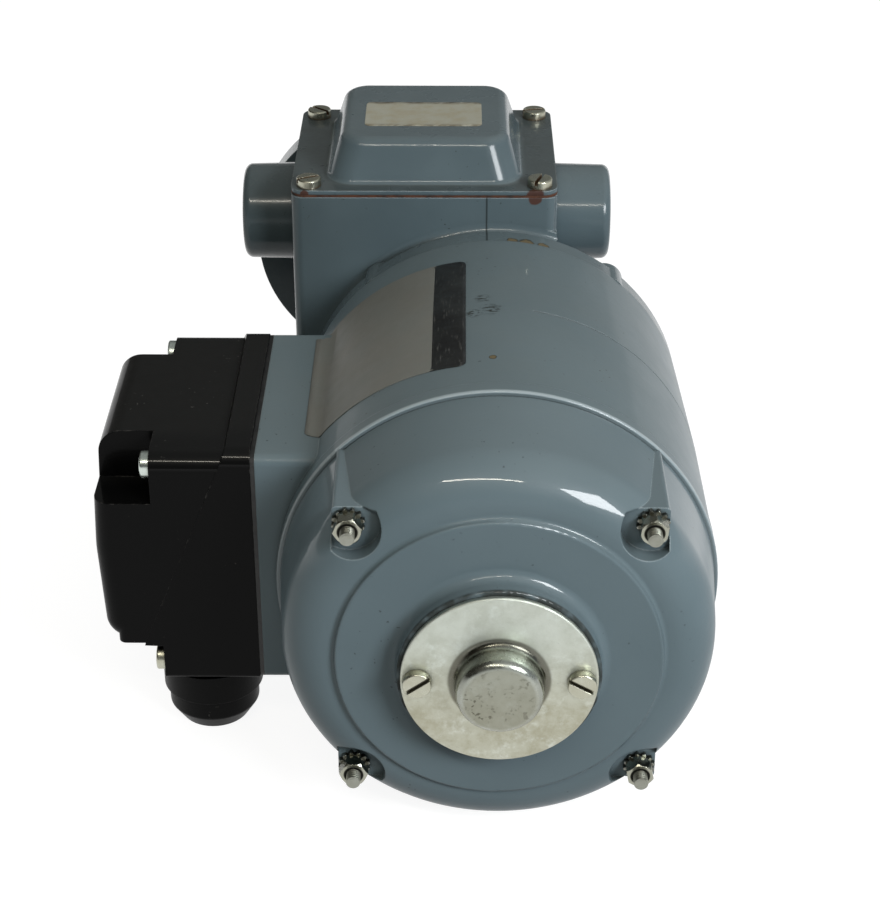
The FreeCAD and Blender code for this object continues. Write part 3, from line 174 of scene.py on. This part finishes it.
# grey enamel on the castings
enamel = {
    "colour": srgb(97, 112, 118),
    "deep": srgb(91, 106, 112),
    # far: the same enamel set darker, as painted shade for the gearbox and cover
    "far": srgb(80, 94, 100),
    "dust": srgb(108, 115, 113),
    # dark colour for specks, chip rims, scuffs and the seam, and for the painted shade in crevices
    "grimeAndShade": srgb(40, 41, 36),
    "filler": srgb(104, 93, 70),
    # pale colour of the painted highlights on edges and on the rim
    "edge": srgb(178, 189, 193),
    # dark colour for the dirt on the cover's rim and for the painted shade on the gearbox's left
    "soilAndShade": srgb(52, 55, 51),
    "rust": srgb(74, 38, 22),
    "gloss": 0.15, "specular": 0.15, "coat": 0.06,
    # sizes of the blots of noise
    "patch": 0.03, "film": 0.012, "cloud": 0.008, "speck": 0.0011, "speckField": 0.02, "peel": 0.0016,
    "stain": 0.003, "soilGrain": 0.009, "ringGrain": 0.004,
    "softEdge": 0.0006, "reach": 0.004, "relief": 0.00006,
    # places, each pair fading in from the first to the second
    "ringR": (0.0245, 0.0235), "ringY": (-0.1631, -0.1641),
    "frontY": (-0.0285, -0.0292), "frontZ": (-0.002, 0.0),
    "seam": (0.0003, 0.0001), "seamStep": (-0.0004, 0.0004),
    "soilRise": (0.0006, 0.0002), "highlightDepth": (0.0011, 0.0006),
    "across": (1.0, 2.5, 1.0), "even": (1.0, 1.0, 1.0),         # grain of scuffs
}


def enamelFinish(name, dusty=0.35, chips=(), scuffs=(), grain="across", rust=(), seamX=None, ring=False,
                 polish=0.6, sheen=0.05, paintedHighlightY=None, tone="colour", shadeX=None, soilZ=None, dull=0.0):
    f = Finish(name)
    patches = f.noise(enamel["patch"], 3.0)
    colour = f.blend(f.step(patches, 0.35, 0.7) * 0.6, enamel[tone], enamel["deep"])
    film = f.step(f.upward(), 0.25, 0.95) * (f.noise(enamel["film"], 4.0, 0.6) * 0.8 + 0.3) * dusty
    colour = f.blend(film, colour, enamel["dust"])
    soft = f.softEdge(enamel["softEdge"])
    hollow = f.step(f.crevice(enamel["reach"]), 0.25, 0.8)
    # painted shade: enamel darkened in crevices and between parts, found by occlusion
    colour = f.blend(hollow * 0.75, colour, enamel["grimeAndShade"])
    specks = f.step(f.noise(enamel["speck"], 1.0), 0.73, 0.78)
    specks = specks * f.step(f.noise(enamel["speckField"]), 0.5, 0.65)
    colour = f.blend(specks * 0.7, colour, enamel["grimeAndShade"])
    # painted highlight: pale lines on sharp edges that face upwards
    facing = f.node("SeparateXYZ", sockets={0: soft}, out="Z")
    glint = f.step(f.sharpEdges(soft), 0.03, 0.15) * f.step(facing, 0.15, 0.5) * (1.0 - hollow)
    colour = f.blend(glint * 0.55, colour, enamel["edge"])
    if shadeX:                                   # painted shade: darker towards one side
        colour = f.blend(f.step(f.along("X"), *shadeX) * 0.4, colour, enamel["soilAndShade"])
    if soilZ is not None:                       # dirt lying on the flat rim
        low = f.step(f.along("Z"), *(soilZ + rise for rise in enamel["soilRise"]))
        flat = f.step(f.upward(), 0.8, 0.95) * low
        cover = f.noise(enamel["soilGrain"], 4.0, 0.6) * 0.6 + 0.25
        colour = f.blend(flat * cover, colour, enamel["soilAndShade"])
    height = f.noise(enamel["peel"], 2.0) * 0.5 + patches * 1.5
    rough = film * 0.3 + f.noise(enamel["cloud"], 3.0) * 0.12 + hollow * 0.3 + (enamel["gloss"] + dull)
    for centre, radius in chips:                # paint gone to the filler, with a dark rim
        shape = f.near(centre, radius, 0.9) * (f.noise(enamel["speck"], 4.0, 0.7) * 1.6 + 0.1)
        colour = f.blend(f.step(shape, 0.28, 0.4), colour, enamel["grimeAndShade"])
        gone = f.step(shape, 0.42, 0.5)
        colour = f.blend(gone, colour, enamel["filler"])
        height = height - gone * 3.0
        rough = rough + gone * 0.4
    for centre, radius in scuffs:
        marks = f.step(f.noise(enamel["peel"], 3.0, 0.6, enamel[grain]), 0.5, 0.55)
        marks = marks * f.near(centre, radius, 0.8)
        colour = f.blend(marks * 0.95, colour, enamel["grimeAndShade"])
        height = height - marks * 1.0
    for centre, radius in rust:
        ragged = (f.noise(enamel["stain"], 4.0) - 0.5) * 0.8
        stain = f.step(f.near(centre, radius, 0.9) + ragged, 0.3, 0.55)
        colour = f.blend(stain * 0.85, colour, enamel["rust"])
        rough = rough + stain * 0.4
    if ring:                                    # darker ring round the bearing cap
        darkRing = f.step(f.away(axle), *enamel["ringR"]) * f.step(f.along("Y"), *enamel["ringY"])
        darkRing = darkRing * f.step(f.noise(enamel["ringGrain"], 3.0), 0.2, 0.6)
        colour = f.blend(darkRing * 0.85, colour, enamel["grimeAndShade"])
        rough = rough + darkRing * 0.4
    if seamX is not None:                       # parting line of the casting on the front of the box
        front = f.step(f.along("Y"), *enamel["frontY"]) * f.step(f.along("Z"), *enamel["frontZ"])
        line = f.step(abs(f.along("X") - seamX), *enamel["seam"]) * front
        colour = f.blend(line * 0.6, colour, enamel["grimeAndShade"])
        rise = f.step(f.along("X"), *(seamX + side for side in enamel["seamStep"]))
        height = height + rise * front * 4.0
    coat = f.step(f.upward(), 0.3, 0.5) * polish + enamel["coat"]     # dull on the lower faces
    if paintedHighlightY is not None:                     # rim given more coat and a painted highlight on its upper side
        rim = f.step(f.along("Y"), *(paintedHighlightY + depth for depth in enamel["highlightDepth"]))
        coat = coat + rim * 0.6
        colour = f.blend(rim * f.step(f.upward(), -0.1, 0.4) * 0.55, colour, enamel["edge"])
    return f.shader(Base_Color=colour, Roughness=rough, Normal=f.bump(height, enamel["relief"], soft),
                    Specular_IOR_Level=enamel["specular"], Coat_Weight=coat, Coat_Roughness=sheen)


# chips, scuffs and rust as a centre and a radius
neckChips = [((0.0275, -0.0392, 0.0086), 0.0034), ((0.0236, -0.0392, 0.0086), 0.0026),
             ((0.0318, -0.0392, 0.0072), 0.0026)]
bodyChips = [((0.0174, -0.1096, 0.0106), 0.0016)]
bodyScuffs = [((0.0130, -0.0856, 0.0099), 0.003), ((0.0175, -0.0838, 0.0102), 0.004),
              ((0.0152, -0.0772, 0.0101), 0.003)]
coverScuffs = [((0.0182, -0.0147, 0.030), 0.0012)]
boxRust = [((0.0297, -0.0300, 0.0168), 0.0032)]
coverRust = [((0.0297, -0.030, 0.0172), 0.004), ((-0.032, -0.030, 0.0178), 0.002)]
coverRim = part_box("top_cover_gasket")[1].z + 0.0012      # top of the cover's flat rim

dress(enamelFinish("enamelShield", 0.2, ring=True, dull=0.15), "rear_end_shield")
dress(enamelFinish("enamelHousing", 0.4, bodyChips, bodyScuffs, polish=0.06, dull=0.11,
                   paintedHighlightY=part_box("stator_housing")[0].y), "stator_housing")
# gearbox and cover in the darker far enamel, which is painted shade; the gearbox is also painted darker to
# the left
dress(enamelFinish("enamelGearbox", chips=neckChips, rust=boxRust, seamX=0.01678, polish=0.35, sheen=0.12,
                   tone="far", shadeX=(0.0, -0.055)), "gear_housing")
dress(enamelFinish("enamelCover", scuffs=coverScuffs, grain="even", rust=coverRust, polish=0.4, sheen=0.1,
                   tone="far", soilZ=coverRim), "top_cover")
print("enamel done")


# zinc plated cap, screws, nuts and rods
zinc = {
    "plate": srgb(180, 180, 164),
    "blotch": srgb(166, 163, 143),
    "pale": srgb(204, 207, 197),
    "cool": srgb(204, 214, 210),
    "dull": srgb(133, 133, 120),
    "shade": srgb(112, 115, 112),
    # dark colour for marks and pits, for the painted shade in crevices, and for the cup's foot
    "dirt": srgb(62, 56, 40),
    "rust": srgb(112, 74, 40),
    "black": srgb(7, 7, 7),
    # sizes of the blots of noise
    "blot": 0.006, "cloud": 0.004, "haze": 0.003, "mark": 0.0009, "markGrain": (1.0, 1.0, 4.0),
    "grain": 0.0006, "pit": 0.0012, "rustGrain": 0.0015,
    "reach": 0.0018, "rustReach": 0.003, "relief": 0.00003,
    # distances from the motor's or a rod's axis, each pair fading in from the first to the second
    "cupOut": (0.0117, 0.0105), "cupIn": (0.0075, 0.0092), "cupEnd": (0.0088, 0.0078),
    "footOut": (0.0121, 0.0113), "footIn": (0.0098, 0.0104), "mouthR": (0.0025, 0.0022),
    "coolZ": (-0.056, -0.026),                  # cooler towards the top of the plate
    "rodOffset": 0.034, "thread": 0.0007,
}


def zincFinish(name, roughness, blotches=0.6, dirt=0.7, soft=0.00025, cup=False, thread=None, rust=0.0,
               dark=0.0, cool=0.0, rods=False):
    f = Finish(name)
    blots = f.step(f.noise(zinc["blot"], 8.0, 0.72), 0.36, 0.66)
    colour = f.blend(blots * blotches, zinc["plate"], zinc["blotch"])
    colour = f.blend(f.step(f.noise(zinc["cloud"], 6.0, 0.7), 0.5, 0.75) * blotches, colour, zinc["pale"])
    # painted shade: the zinc blended darker by dark
    colour = f.blend(dark, colour, zinc["shade"])
    colour = f.blend(cool, colour, zinc["cool"])
    hollow = f.step(f.crevice(zinc["reach"]), 0.2, 0.7)
    # painted shade: zinc darkened in crevices, found by occlusion, by the amount dirt
    colour = f.blend(hollow * dirt, colour, zinc["dirt"])
    marks = f.step(f.noise(zinc["mark"], 2.0, 0.5, zinc["markGrain"]), 0.72, 0.76)
    colour = f.blend(marks * 0.5 * blotches, colour, zinc["dirt"])
    rough = f.noise(zinc["haze"], 3.0) * 0.22 + blots * 0.12 + hollow * 0.25 + (roughness - 0.1)
    height = f.noise(zinc["grain"], 3.0)
    if rods:                                    # painted shade: black in the mouth of each nut, round its rod, for the countersink that isn't modelled
        side = abs(f.along("X") - axle[0]) - zinc["rodOffset"]
        up = abs(f.along("Z") - axle[1]) - zinc["rodOffset"]
        mouth = f.step(side * side + up * up, *(radius ** 2 for radius in zinc["mouthR"]))
        colour = f.blend(mouth * 0.95, colour, zinc["black"])
        rough = rough + mouth * 0.4
    if rust:
        ragged = f.crevice(zinc["rustReach"]) + f.noise(zinc["rustGrain"], 2.0) * 0.5
        stain = f.step(ragged, 0.5, 0.9) * rust
        colour = f.blend(stain, colour, zinc["rust"])
        rough = rough + stain * 0.3
    if cup:                                     # the drawn cup is polished, its end pitted
        away = f.away(axle)
        wall = f.step(away, *zinc["cupOut"]) * f.step(away, *zinc["cupIn"])
        end = f.step(away, *zinc["cupEnd"])
        foot = f.step(away, *zinc["footOut"]) * f.step(away, *zinc["footIn"])
        pits = f.step(f.noise(zinc["pit"], 3.0), 0.56, 0.66) * f.step(f.noise(zinc["blot"]), 0.4, 0.6) * end
        colour = f.blend(f.step(f.along("Z"), *zinc["coolZ"]) * 0.5, colour, zinc["cool"])
        colour = f.blend(end * 0.7, colour, zinc["dull"])
        # painted shade on the cup's wall, and a darker ring at its foot
        colour = f.blend(wall * 0.55, colour, zinc["shade"])
        colour = f.blend(foot * 0.7, colour, zinc["dirt"])
        colour = f.blend(pits * 0.55, colour, zinc["dirt"])
        rough = rough - wall * 0.24 + pits * 0.2
        height = height * (1.0 - wall) - pits * 2.0
    if thread:
        ridge = f.node("Math", {"operation": "SINE"}, {0: f.along("Y") * (2 * math.pi / thread)})
        height = height + ridge * 6.0
    return f.shader(Base_Color=colour, Metallic=1.0, Roughness=rough,
                    Normal=f.bump(height, zinc["relief"], f.softEdge(soft)))


dress(zincFinish("zincCap", 0.42, 0.9, cup=True), "bearing_cap")
dress(zincFinish("zincScrews", 0.24, 0.4, 0.9),
      "bearing_cap_screws", "terminal_base_screws", "worm_end_screws")
dress(zincFinish("brightScrews", 0.2, 0.2, 0.9, cool=0.8), "terminal_cover_screws")
dress(zincFinish("zincCoverScrews", 0.26, 0.7, 0.9, rust=0.6), "top_cover_screws")
# nuts, washers and rods take painted shade through dark
dress(zincFinish("zincNuts", 0.14, 0.4, 1.0, soft=0.0002, dark=0.35, rods=True), "tie_rod_nuts")
dress(zincFinish("zincWashers", 0.16, 0.4, 1.0, soft=0.00012, dark=0.8), "tooth_lock_washers")
dress(zincFinish("zincRods", 0.3, 0.6, 0.9, thread=zinc["thread"], dark=0.6), "tie_rods")
dress(zincFinish("zincEndCover", 0.4, 0.8), "worm_end_cover")
print("zinc done")


# black moulded terminal box and gland
moulding = {
    "colour": srgb(7, 7, 7),
    "dust": srgb(37, 37, 36),
    "scuff": srgb(92, 90, 86),
    "dustY": (-0.1128, -0.1044),                # no dust on the near edge
    "dustGrain": 0.006, "speck": 0.0012, "speckField": 0.015, "rubGrain": 0.002, "haze": 0.004,
    "grain": 0.0007, "relief": 0.00002, "softEdge": 0.0005,
    "specular": 0.05, "sheen": 0.08,
}


def mouldingFinish(name, dusty=0.5, gloss=0.25):
    f = Finish(name)
    soft = f.softEdge(moulding["softEdge"])
    clear = f.step(f.along("Y"), *moulding["dustY"])
    film = f.step(f.upward(), 0.3, 0.95) * clear * dusty
    film = film * (f.noise(moulding["dustGrain"], 4.0, 0.6) * 0.6 + 0.5)
    colour = f.blend(film, moulding["colour"], moulding["dust"])
    specks = f.step(f.noise(moulding["speck"], 2.0), 0.7, 0.76)
    specks = specks * f.step(f.noise(moulding["speckField"]), 0.5, 0.65)
    colour = f.blend(specks * 0.5, colour, moulding["scuff"])
    rub = f.step(f.sharpEdges(soft), 0.03, 0.2) * f.step(f.noise(moulding["rubGrain"], 3.0), 0.5, 0.7)
    colour = f.blend(rub * 0.6, colour, moulding["scuff"])
    rough = film * 0.5 + f.noise(moulding["haze"], 3.0) * 0.14 + gloss
    height = f.noise(moulding["grain"], 2.0) + specks * 2.0
    coat = f.step(f.upward(), 0.1, 0.4) * (1.0 - film) * 0.35 + 0.05
    return f.shader(Base_Color=colour, Roughness=rough, Normal=f.bump(height, moulding["relief"], soft),
                    Specular_IOR_Level=moulding["specular"], Coat_Weight=coat,
                    Coat_Roughness=moulding["sheen"])


dress(mouldingFinish("blackMoulding"), "terminal_box_base", "terminal_box_cover")
dress(mouldingFinish("blackGland", 0.25, 0.33), "gland_body", "gland_nut")
print("moulding done")


# gaskets, seals and the small inside pieces
inside = {"rubberPatch": 0.003, "rubberHaze": 0.001, "rubberGrain": 0.0005, "rubberRelief": 0.00003,
          "cut": 0.0008, "reach": 0.002, "cutRelief": 0.00002, "softEdge": 0.0002,
          "even": (1.0, 1.0, 1.0), "turned": (0.15, 1.0, 1.0),
          "stacked": (1.0, 8.0, 1.0), "wound": (3.0, 0.6, 3.0)}


def rubberFinish(name, colour, pale, rough):
    f = Finish(name)
    patches = f.step(f.noise(inside["rubberPatch"], 3.0), 0.4, 0.7)
    return f.shader(Base_Color=f.blend(patches, colour, pale),
                    Roughness=f.noise(inside["rubberHaze"], 2.0) * 0.2 + (rough - 0.1),
                    Normal=f.bump(f.noise(inside["rubberGrain"], 2.0), inside["rubberRelief"]))


def metalFinish(name, colour, dark, rough, grain="even"):
    f = Finish(name)
    lines = f.noise(inside["cut"], 3.0, 0.6, inside[grain])
    hollow = f.step(f.crevice(inside["reach"]), 0.3, 0.9)
    # painted shade in crevices, with the darker cut lines
    tone = f.blend(f.step(lines, 0.35, 0.7) * 0.5 + hollow * 0.4, colour, dark)
    return f.shader(Base_Color=tone, Metallic=1.0, Roughness=lines * 0.2 + hollow * 0.2 + (rough - 0.1),
                    Normal=f.bump(lines, inside["cutRelief"], f.softEdge(inside["softEdge"])))


dress(rubberFinish("gasketPaper", srgb(80, 46, 29), srgb(40, 27, 21), 0.8), "top_cover_gasket")
dress(rubberFinish("blackRubber", srgb(20, 20, 20), srgb(34, 34, 33), 0.6),
      "terminal_box_gasket", "gland_seal", "shaft_seal", "output_seals")
dress(metalFinish("machinedSteel", srgb(150, 150, 148), srgb(92, 90, 86), 0.3, "turned"),
      "output_sleeve", "output_spacers", "rotor_shaft", "worm_shaft", "spur_gear", "spur_gear_key",
      "wheel_key")
dress(metalFinish("bearingSteel", srgb(168, 168, 168), srgb(110, 110, 110), 0.22),
      "rear_bearing_outer", "rear_bearing_inner", "drive_bearing_outer", "drive_bearing_inner",
      "worm_bearing_near_outer", "worm_bearing_near_inner", "worm_bearing_far_outer",
      "worm_bearing_far_inner", "wave_spring", "sleeve_circlips")
dress(metalFinish("laminations", srgb(88, 88, 92), srgb(44, 46, 52), 0.45, "stacked"),
      "stator_core", "rotor_core")
dress(metalFinish("castAluminium", srgb(176, 178, 180), srgb(120, 122, 124), 0.45), "rotor_cage")
dress(metalFinish("copperCoils", srgb(176, 104, 62), srgb(96, 46, 24), 0.4, "wound"), "stator_winding")
dress(metalFinish("bronze", srgb(176, 138, 80), srgb(112, 82, 44), 0.32), "worm_wheel", "output_bushes")
dress(metalFinish("brass", srgb(196, 166, 100), srgb(130, 102, 52), 0.3),
      "terminal_studs", "terminal_links", "terminal_nuts")
dress(rubberFinish("boardMoulding", srgb(52, 34, 24), srgb(36, 24, 18), 0.45), "terminal_board")
print("inside done")


# bare rating plate on the housing
ratingPlate = {
    "radius": 0.053, "thick": 0.0002, "lift": 0.00002, "columns": 48,
    "from": 98.4, "to": 146.2, "strip": 9.0,    # degrees round the motor's axis, the strip from the first
    "start": -0.1115, "end": -0.0515, "lean": 0.0032, "corner": 0.002,
    "film": srgb(112, 112, 106), "band": srgb(16, 16, 16), "scratch": srgb(130, 130, 126),
    "rub": 0.0016, "rubGrain": (3.0, 0.35, 3.0), "cloud": 0.012, "haze": 0.004, "wave": 0.006,
    "relief": 0.0002, "specular": 0.4,
}


def plateFinish(name, colour, rough, dusty):
    f = Finish(name)
    p = ratingPlate
    rubbed = f.step(f.noise(p["rub"], 3.0, 0.6, p["rubGrain"]), 0.58, 0.72)
    tone = f.blend(f.step(f.noise(p["cloud"], 4.0), 0.35, 0.75) * dusty, colour, enamel["dust"])
    tone = f.blend(rubbed * 0.25, tone, p["scratch"])
    haze = f.noise(p["haze"], 3.0) * 0.2
    return f.shader(Base_Color=tone, Roughness=haze + rubbed * 0.1 + (rough - 0.1),
                    Normal=f.bump(f.noise(p["wave"], 2.0), p["relief"]), Specular_IOR_Level=p["specular"])


def roundedRows(length, width, corner, steps=6, spans=8):    # rows along the length, each with its half width
    rows = []
    for i in range(steps + 1):
        turn = math.pi / 2 * i / steps
        rows.append((corner * (1 - math.cos(turn)), width / 2 - corner * (1 - math.sin(turn))))
    middle = [(corner + (length - 2 * corner) * i / spans, width / 2) for i in range(1, spans)]
    return rows + middle + [(length - a, half) for a, half in reversed(rows)]


def sheetMesh(name, rows, columns, point, thick):
    mesh = bmesh.new()
    grid = [[mesh.verts.new(point(a, -half + 2 * half * i / columns)) for i in range(columns + 1)]
            for a, half in rows]
    for low, high in zip(grid, grid[1:]):
        for i in range(columns):
            mesh.faces.new((low[i], low[i + 1], high[i + 1], high[i]))
    bmesh.ops.recalc_face_normals(mesh, faces=mesh.faces)
    data = bpy.data.meshes.new(name)
    mesh.to_mesh(data)
    mesh.free()
    piece = bpy.data.objects.new(name, data)
    bpy.context.scene.collection.objects.link(piece)
    for face in data.polygons:
        face.use_smooth = True
    skin = piece.modifiers.new("thickness", "SOLIDIFY")
    skin.thickness, skin.offset = thick, 1.0
    return piece


def platePoint(a, side):                        # laid on the housing from outside
    p = ratingPlate
    angle = math.radians((p["from"] + p["to"]) / 2) - side / p["radius"]
    out = Vector((math.cos(angle), 0.0, math.sin(angle)))
    along = p["start"] + a - p["lean"] * side / arc
    start = Vector((axle[0], along, axle[1])) + out * 2 * p["radius"]
    return nodes["stator_housing"].ray_cast(start, -out)[1] + out * p["lift"]


arc = math.radians(ratingPlate["to"] - ratingPlate["from"]) * ratingPlate["radius"]
plateRows = roundedRows(ratingPlate["end"] - ratingPlate["start"], arc, ratingPlate["corner"])
plate = sheetMesh("rating_plate", plateRows, ratingPlate["columns"], platePoint, ratingPlate["thick"])
plate.data.materials.append(plateFinish("plateFilm", ratingPlate["film"], 0.55, 0.3))
plate.data.materials.append(plateFinish("plateBand", ratingPlate["band"], 0.4, 0.08))
bandEdge = math.radians(ratingPlate["from"] + ratingPlate["strip"])
for face in plate.data.polygons:
    angle = math.atan2(face.center[2] - axle[1], face.center[0] - axle[0])
    face.material_index = 1 if angle < bandEdge else 0
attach(plate, "frame")

# bare paper label on the gearbox cover
paperLabel = {
    "left": -0.0164, "right": 0.0155, "near": -0.0119, "far": 0.0062, "corner": 0.0016,
    "thick": 0.00002, "lift": 0.00001, "columns": 12,
    "paper": srgb(162, 161, 147), "aged": srgb(150, 140, 113), "dirt": srgb(84, 74, 56),
    "cloud": 0.005, "rim": (0.0068, 0.0088), "dirtGrain": 0.003, "haze": 0.002, "grain": 0.0004,
    "relief": 0.00002,
}
labelMiddle = (paperLabel["near"] + paperLabel["far"]) / 2
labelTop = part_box("top_cover")[1].z + paperLabel["lift"]


def paperFinish():
    f = Finish("agedPaper")
    p = paperLabel
    tone = f.blend(f.step(f.noise(p["cloud"], 4.0, 0.6), 0.35, 0.7) * 0.6, p["paper"], p["aged"])
    rim = f.step(abs(f.along("Y") - labelMiddle), *p["rim"])
    tone = f.blend(rim * f.step(f.noise(p["dirtGrain"], 3.0), 0.35, 0.6) * 0.8, tone, p["dirt"])
    return f.shader(Base_Color=tone, Roughness=f.noise(p["haze"], 2.0) * 0.2 + 0.45,
                    Normal=f.bump(f.noise(p["grain"], 3.0), p["relief"]))


def labelPoint(a, side):
    return paperLabel["left"] + a, labelMiddle + side, labelTop


labelRows = roundedRows(paperLabel["right"] - paperLabel["left"], paperLabel["far"] - paperLabel["near"],
                        paperLabel["corner"])
label = sheetMesh("cover_label", labelRows, paperLabel["columns"], labelPoint, paperLabel["thick"])
label.data.materials.append(paperFinish())
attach(label, "frame")
print("plate and label done")


# floor, light and camera
studio = {
    "floor": 0.22, "floorRough": 0.9, "glow": 0.9, "floorSize": 4.0,
    # the room by direction, darker to the left and brighter overhead
    "left": (0.05, 0.048, 0.04, 1), "right": (0.28, 0.305, 0.32, 1), "wallX": (-0.6, 1.0),
    "roofLeft": (0.06, 0.055, 0.045, 1), "roofRight": (0.68, 0.7, 0.69, 1), "roofX": (-0.7, 0.5),
    "roofZ": (0.2, 0.95), "horizonZ": (0.06, 0.02),
    "aim": (0.0, -0.06, -0.03),
    "lens": 84.17, "sensor": 36.0, "nearest": 0.01,
    "cameraAt": (0.00840, -0.55037, 0.24079), "cameraTilt": 59.884, "cameraTurn": 0.456,
}
black, white = (0, 0, 0, 1), (1, 1, 1, 1)
lamps = {
    "window": {"at": (0.437, -0.632, 0.338), "size": (0.275, 0.231), "turn": 0.0, "power": 4.6,
               "colour": (0.95, 0.98, 1.0), "mirrored": True},
    "strip": {"at": (-0.11, -0.83, 0.79), "size": (0.65, 0.035), "turn": -16.0, "power": 2.6,
              "colour": (1.0, 0.94, 0.82), "mirrored": True},
    "side": {"at": (1.2, 0.1, 0.5), "size": (1.0, 1.0), "turn": 0.0, "power": 0.3,
             "colour": (1.0, 1.0, 1.0), "mirrored": True},
    # these two only fill, and don't show in reflections
    "rear": {"at": (-0.45, 1.15, 0.22), "size": (1.0, 0.6), "turn": 0.0, "power": 6.0,
             "colour": (1.0, 1.0, 1.0), "mirrored": False},
    "leftFill": {"at": (-1.2, 0.25, -0.02), "size": (0.8, 0.4), "turn": 0.0, "power": 4.0,
                 "colour": (1.0, 1.0, 1.0), "mirrored": False},
}
low, half = cadBox[0].z, studio["floorSize"] / 2
floor = bpy.data.objects.new("floor", bpy.data.meshes.new("floor"))
corners = [(-half, -half, low), (half, -half, low), (half, half, low), (-half, half, low)]
floor.data.from_pydata(corners, [], [(0, 1, 2, 3)])
bpy.context.scene.collection.objects.link(floor)


def seenRays(finish):                           # seen by the camera, in metal or through glass
    names = "Is Camera Ray", "Is Glossy Ray", "Is Transmission Ray"
    camera, glossy, through = (finish.node("LightPath", out=name) for name in names)
    return finish.step(camera + glossy + through, 0.0, 1.0)


paint = Finish("paleFloor")
shine = paint.blend(seenRays(paint), black, (studio["glow"],) * 3 + (1.0,))
floor.data.materials.append(paint.shader(
    Base_Color=(studio["floor"],) * 3 + (1.0,), Roughness=studio["floorRough"], Specular_IOR_Level=0.0,
    Emission_Strength=1.0, Emission_Color=shine))

world = bpy.data.worlds.new("studio")
bpy.context.scene.world = world
world.use_nodes = True
room = Finish("studio", world.node_tree)
direction = room.node("TexCoord", out="Generated")
across = room.node("SeparateXYZ", sockets={0: direction}, out="X")
height = room.node("SeparateXYZ", sockets={0: direction}, out="Z")
walls = room.blend(room.step(across, *studio["wallX"]), studio["left"], studio["right"])
roof = room.blend(room.step(across, *studio["roofX"]), studio["roofLeft"], studio["roofRight"])
glow = room.blend(room.step(height, *studio["roofZ"]), walls, roof)
below = seenRays(room) * room.step(height, *studio["horizonZ"])      # white beyond the floor's edge
backdrop = world.node_tree.nodes["Background"].inputs["Color"]
world.node_tree.links.new(room.blend(below, glow, white).socket, backdrop)

for name, setting in lamps.items():
    lamp = bpy.data.lights.new(name, "AREA")
    lamp.shape = "RECTANGLE"
    lamp.size, lamp.size_y = setting["size"]
    lamp.energy, lamp.color = setting["power"], setting["colour"]
    holder = bpy.data.objects.new(name, lamp)
    holder.location = setting["at"]
    holder.visible_glossy = setting["mirrored"]
    facing = (Vector(studio["aim"]) - Vector(setting["at"])).to_track_quat("-Z", "Y")
    turn = Euler((0.0, 0.0, math.radians(setting["turn"]))).to_quaternion()
    holder.rotation_euler = (facing @ turn).to_euler()
    bpy.context.scene.collection.objects.link(holder)

camera = bpy.data.objects.new("camera", bpy.data.cameras.new("camera"))
camera.data.lens, camera.data.sensor_width = studio["lens"], studio["sensor"]
camera.data.clip_start = studio["nearest"]
camera.location = studio["cameraAt"]
camera.rotation_euler = Euler((math.radians(studio["cameraTilt"]), 0.0, math.radians(studio["cameraTurn"])))
bpy.context.scene.collection.objects.link(camera)
bpy.context.scene.camera = camera
bpy.context.scene.view_settings.view_transform = "Standard"
print("stage done")
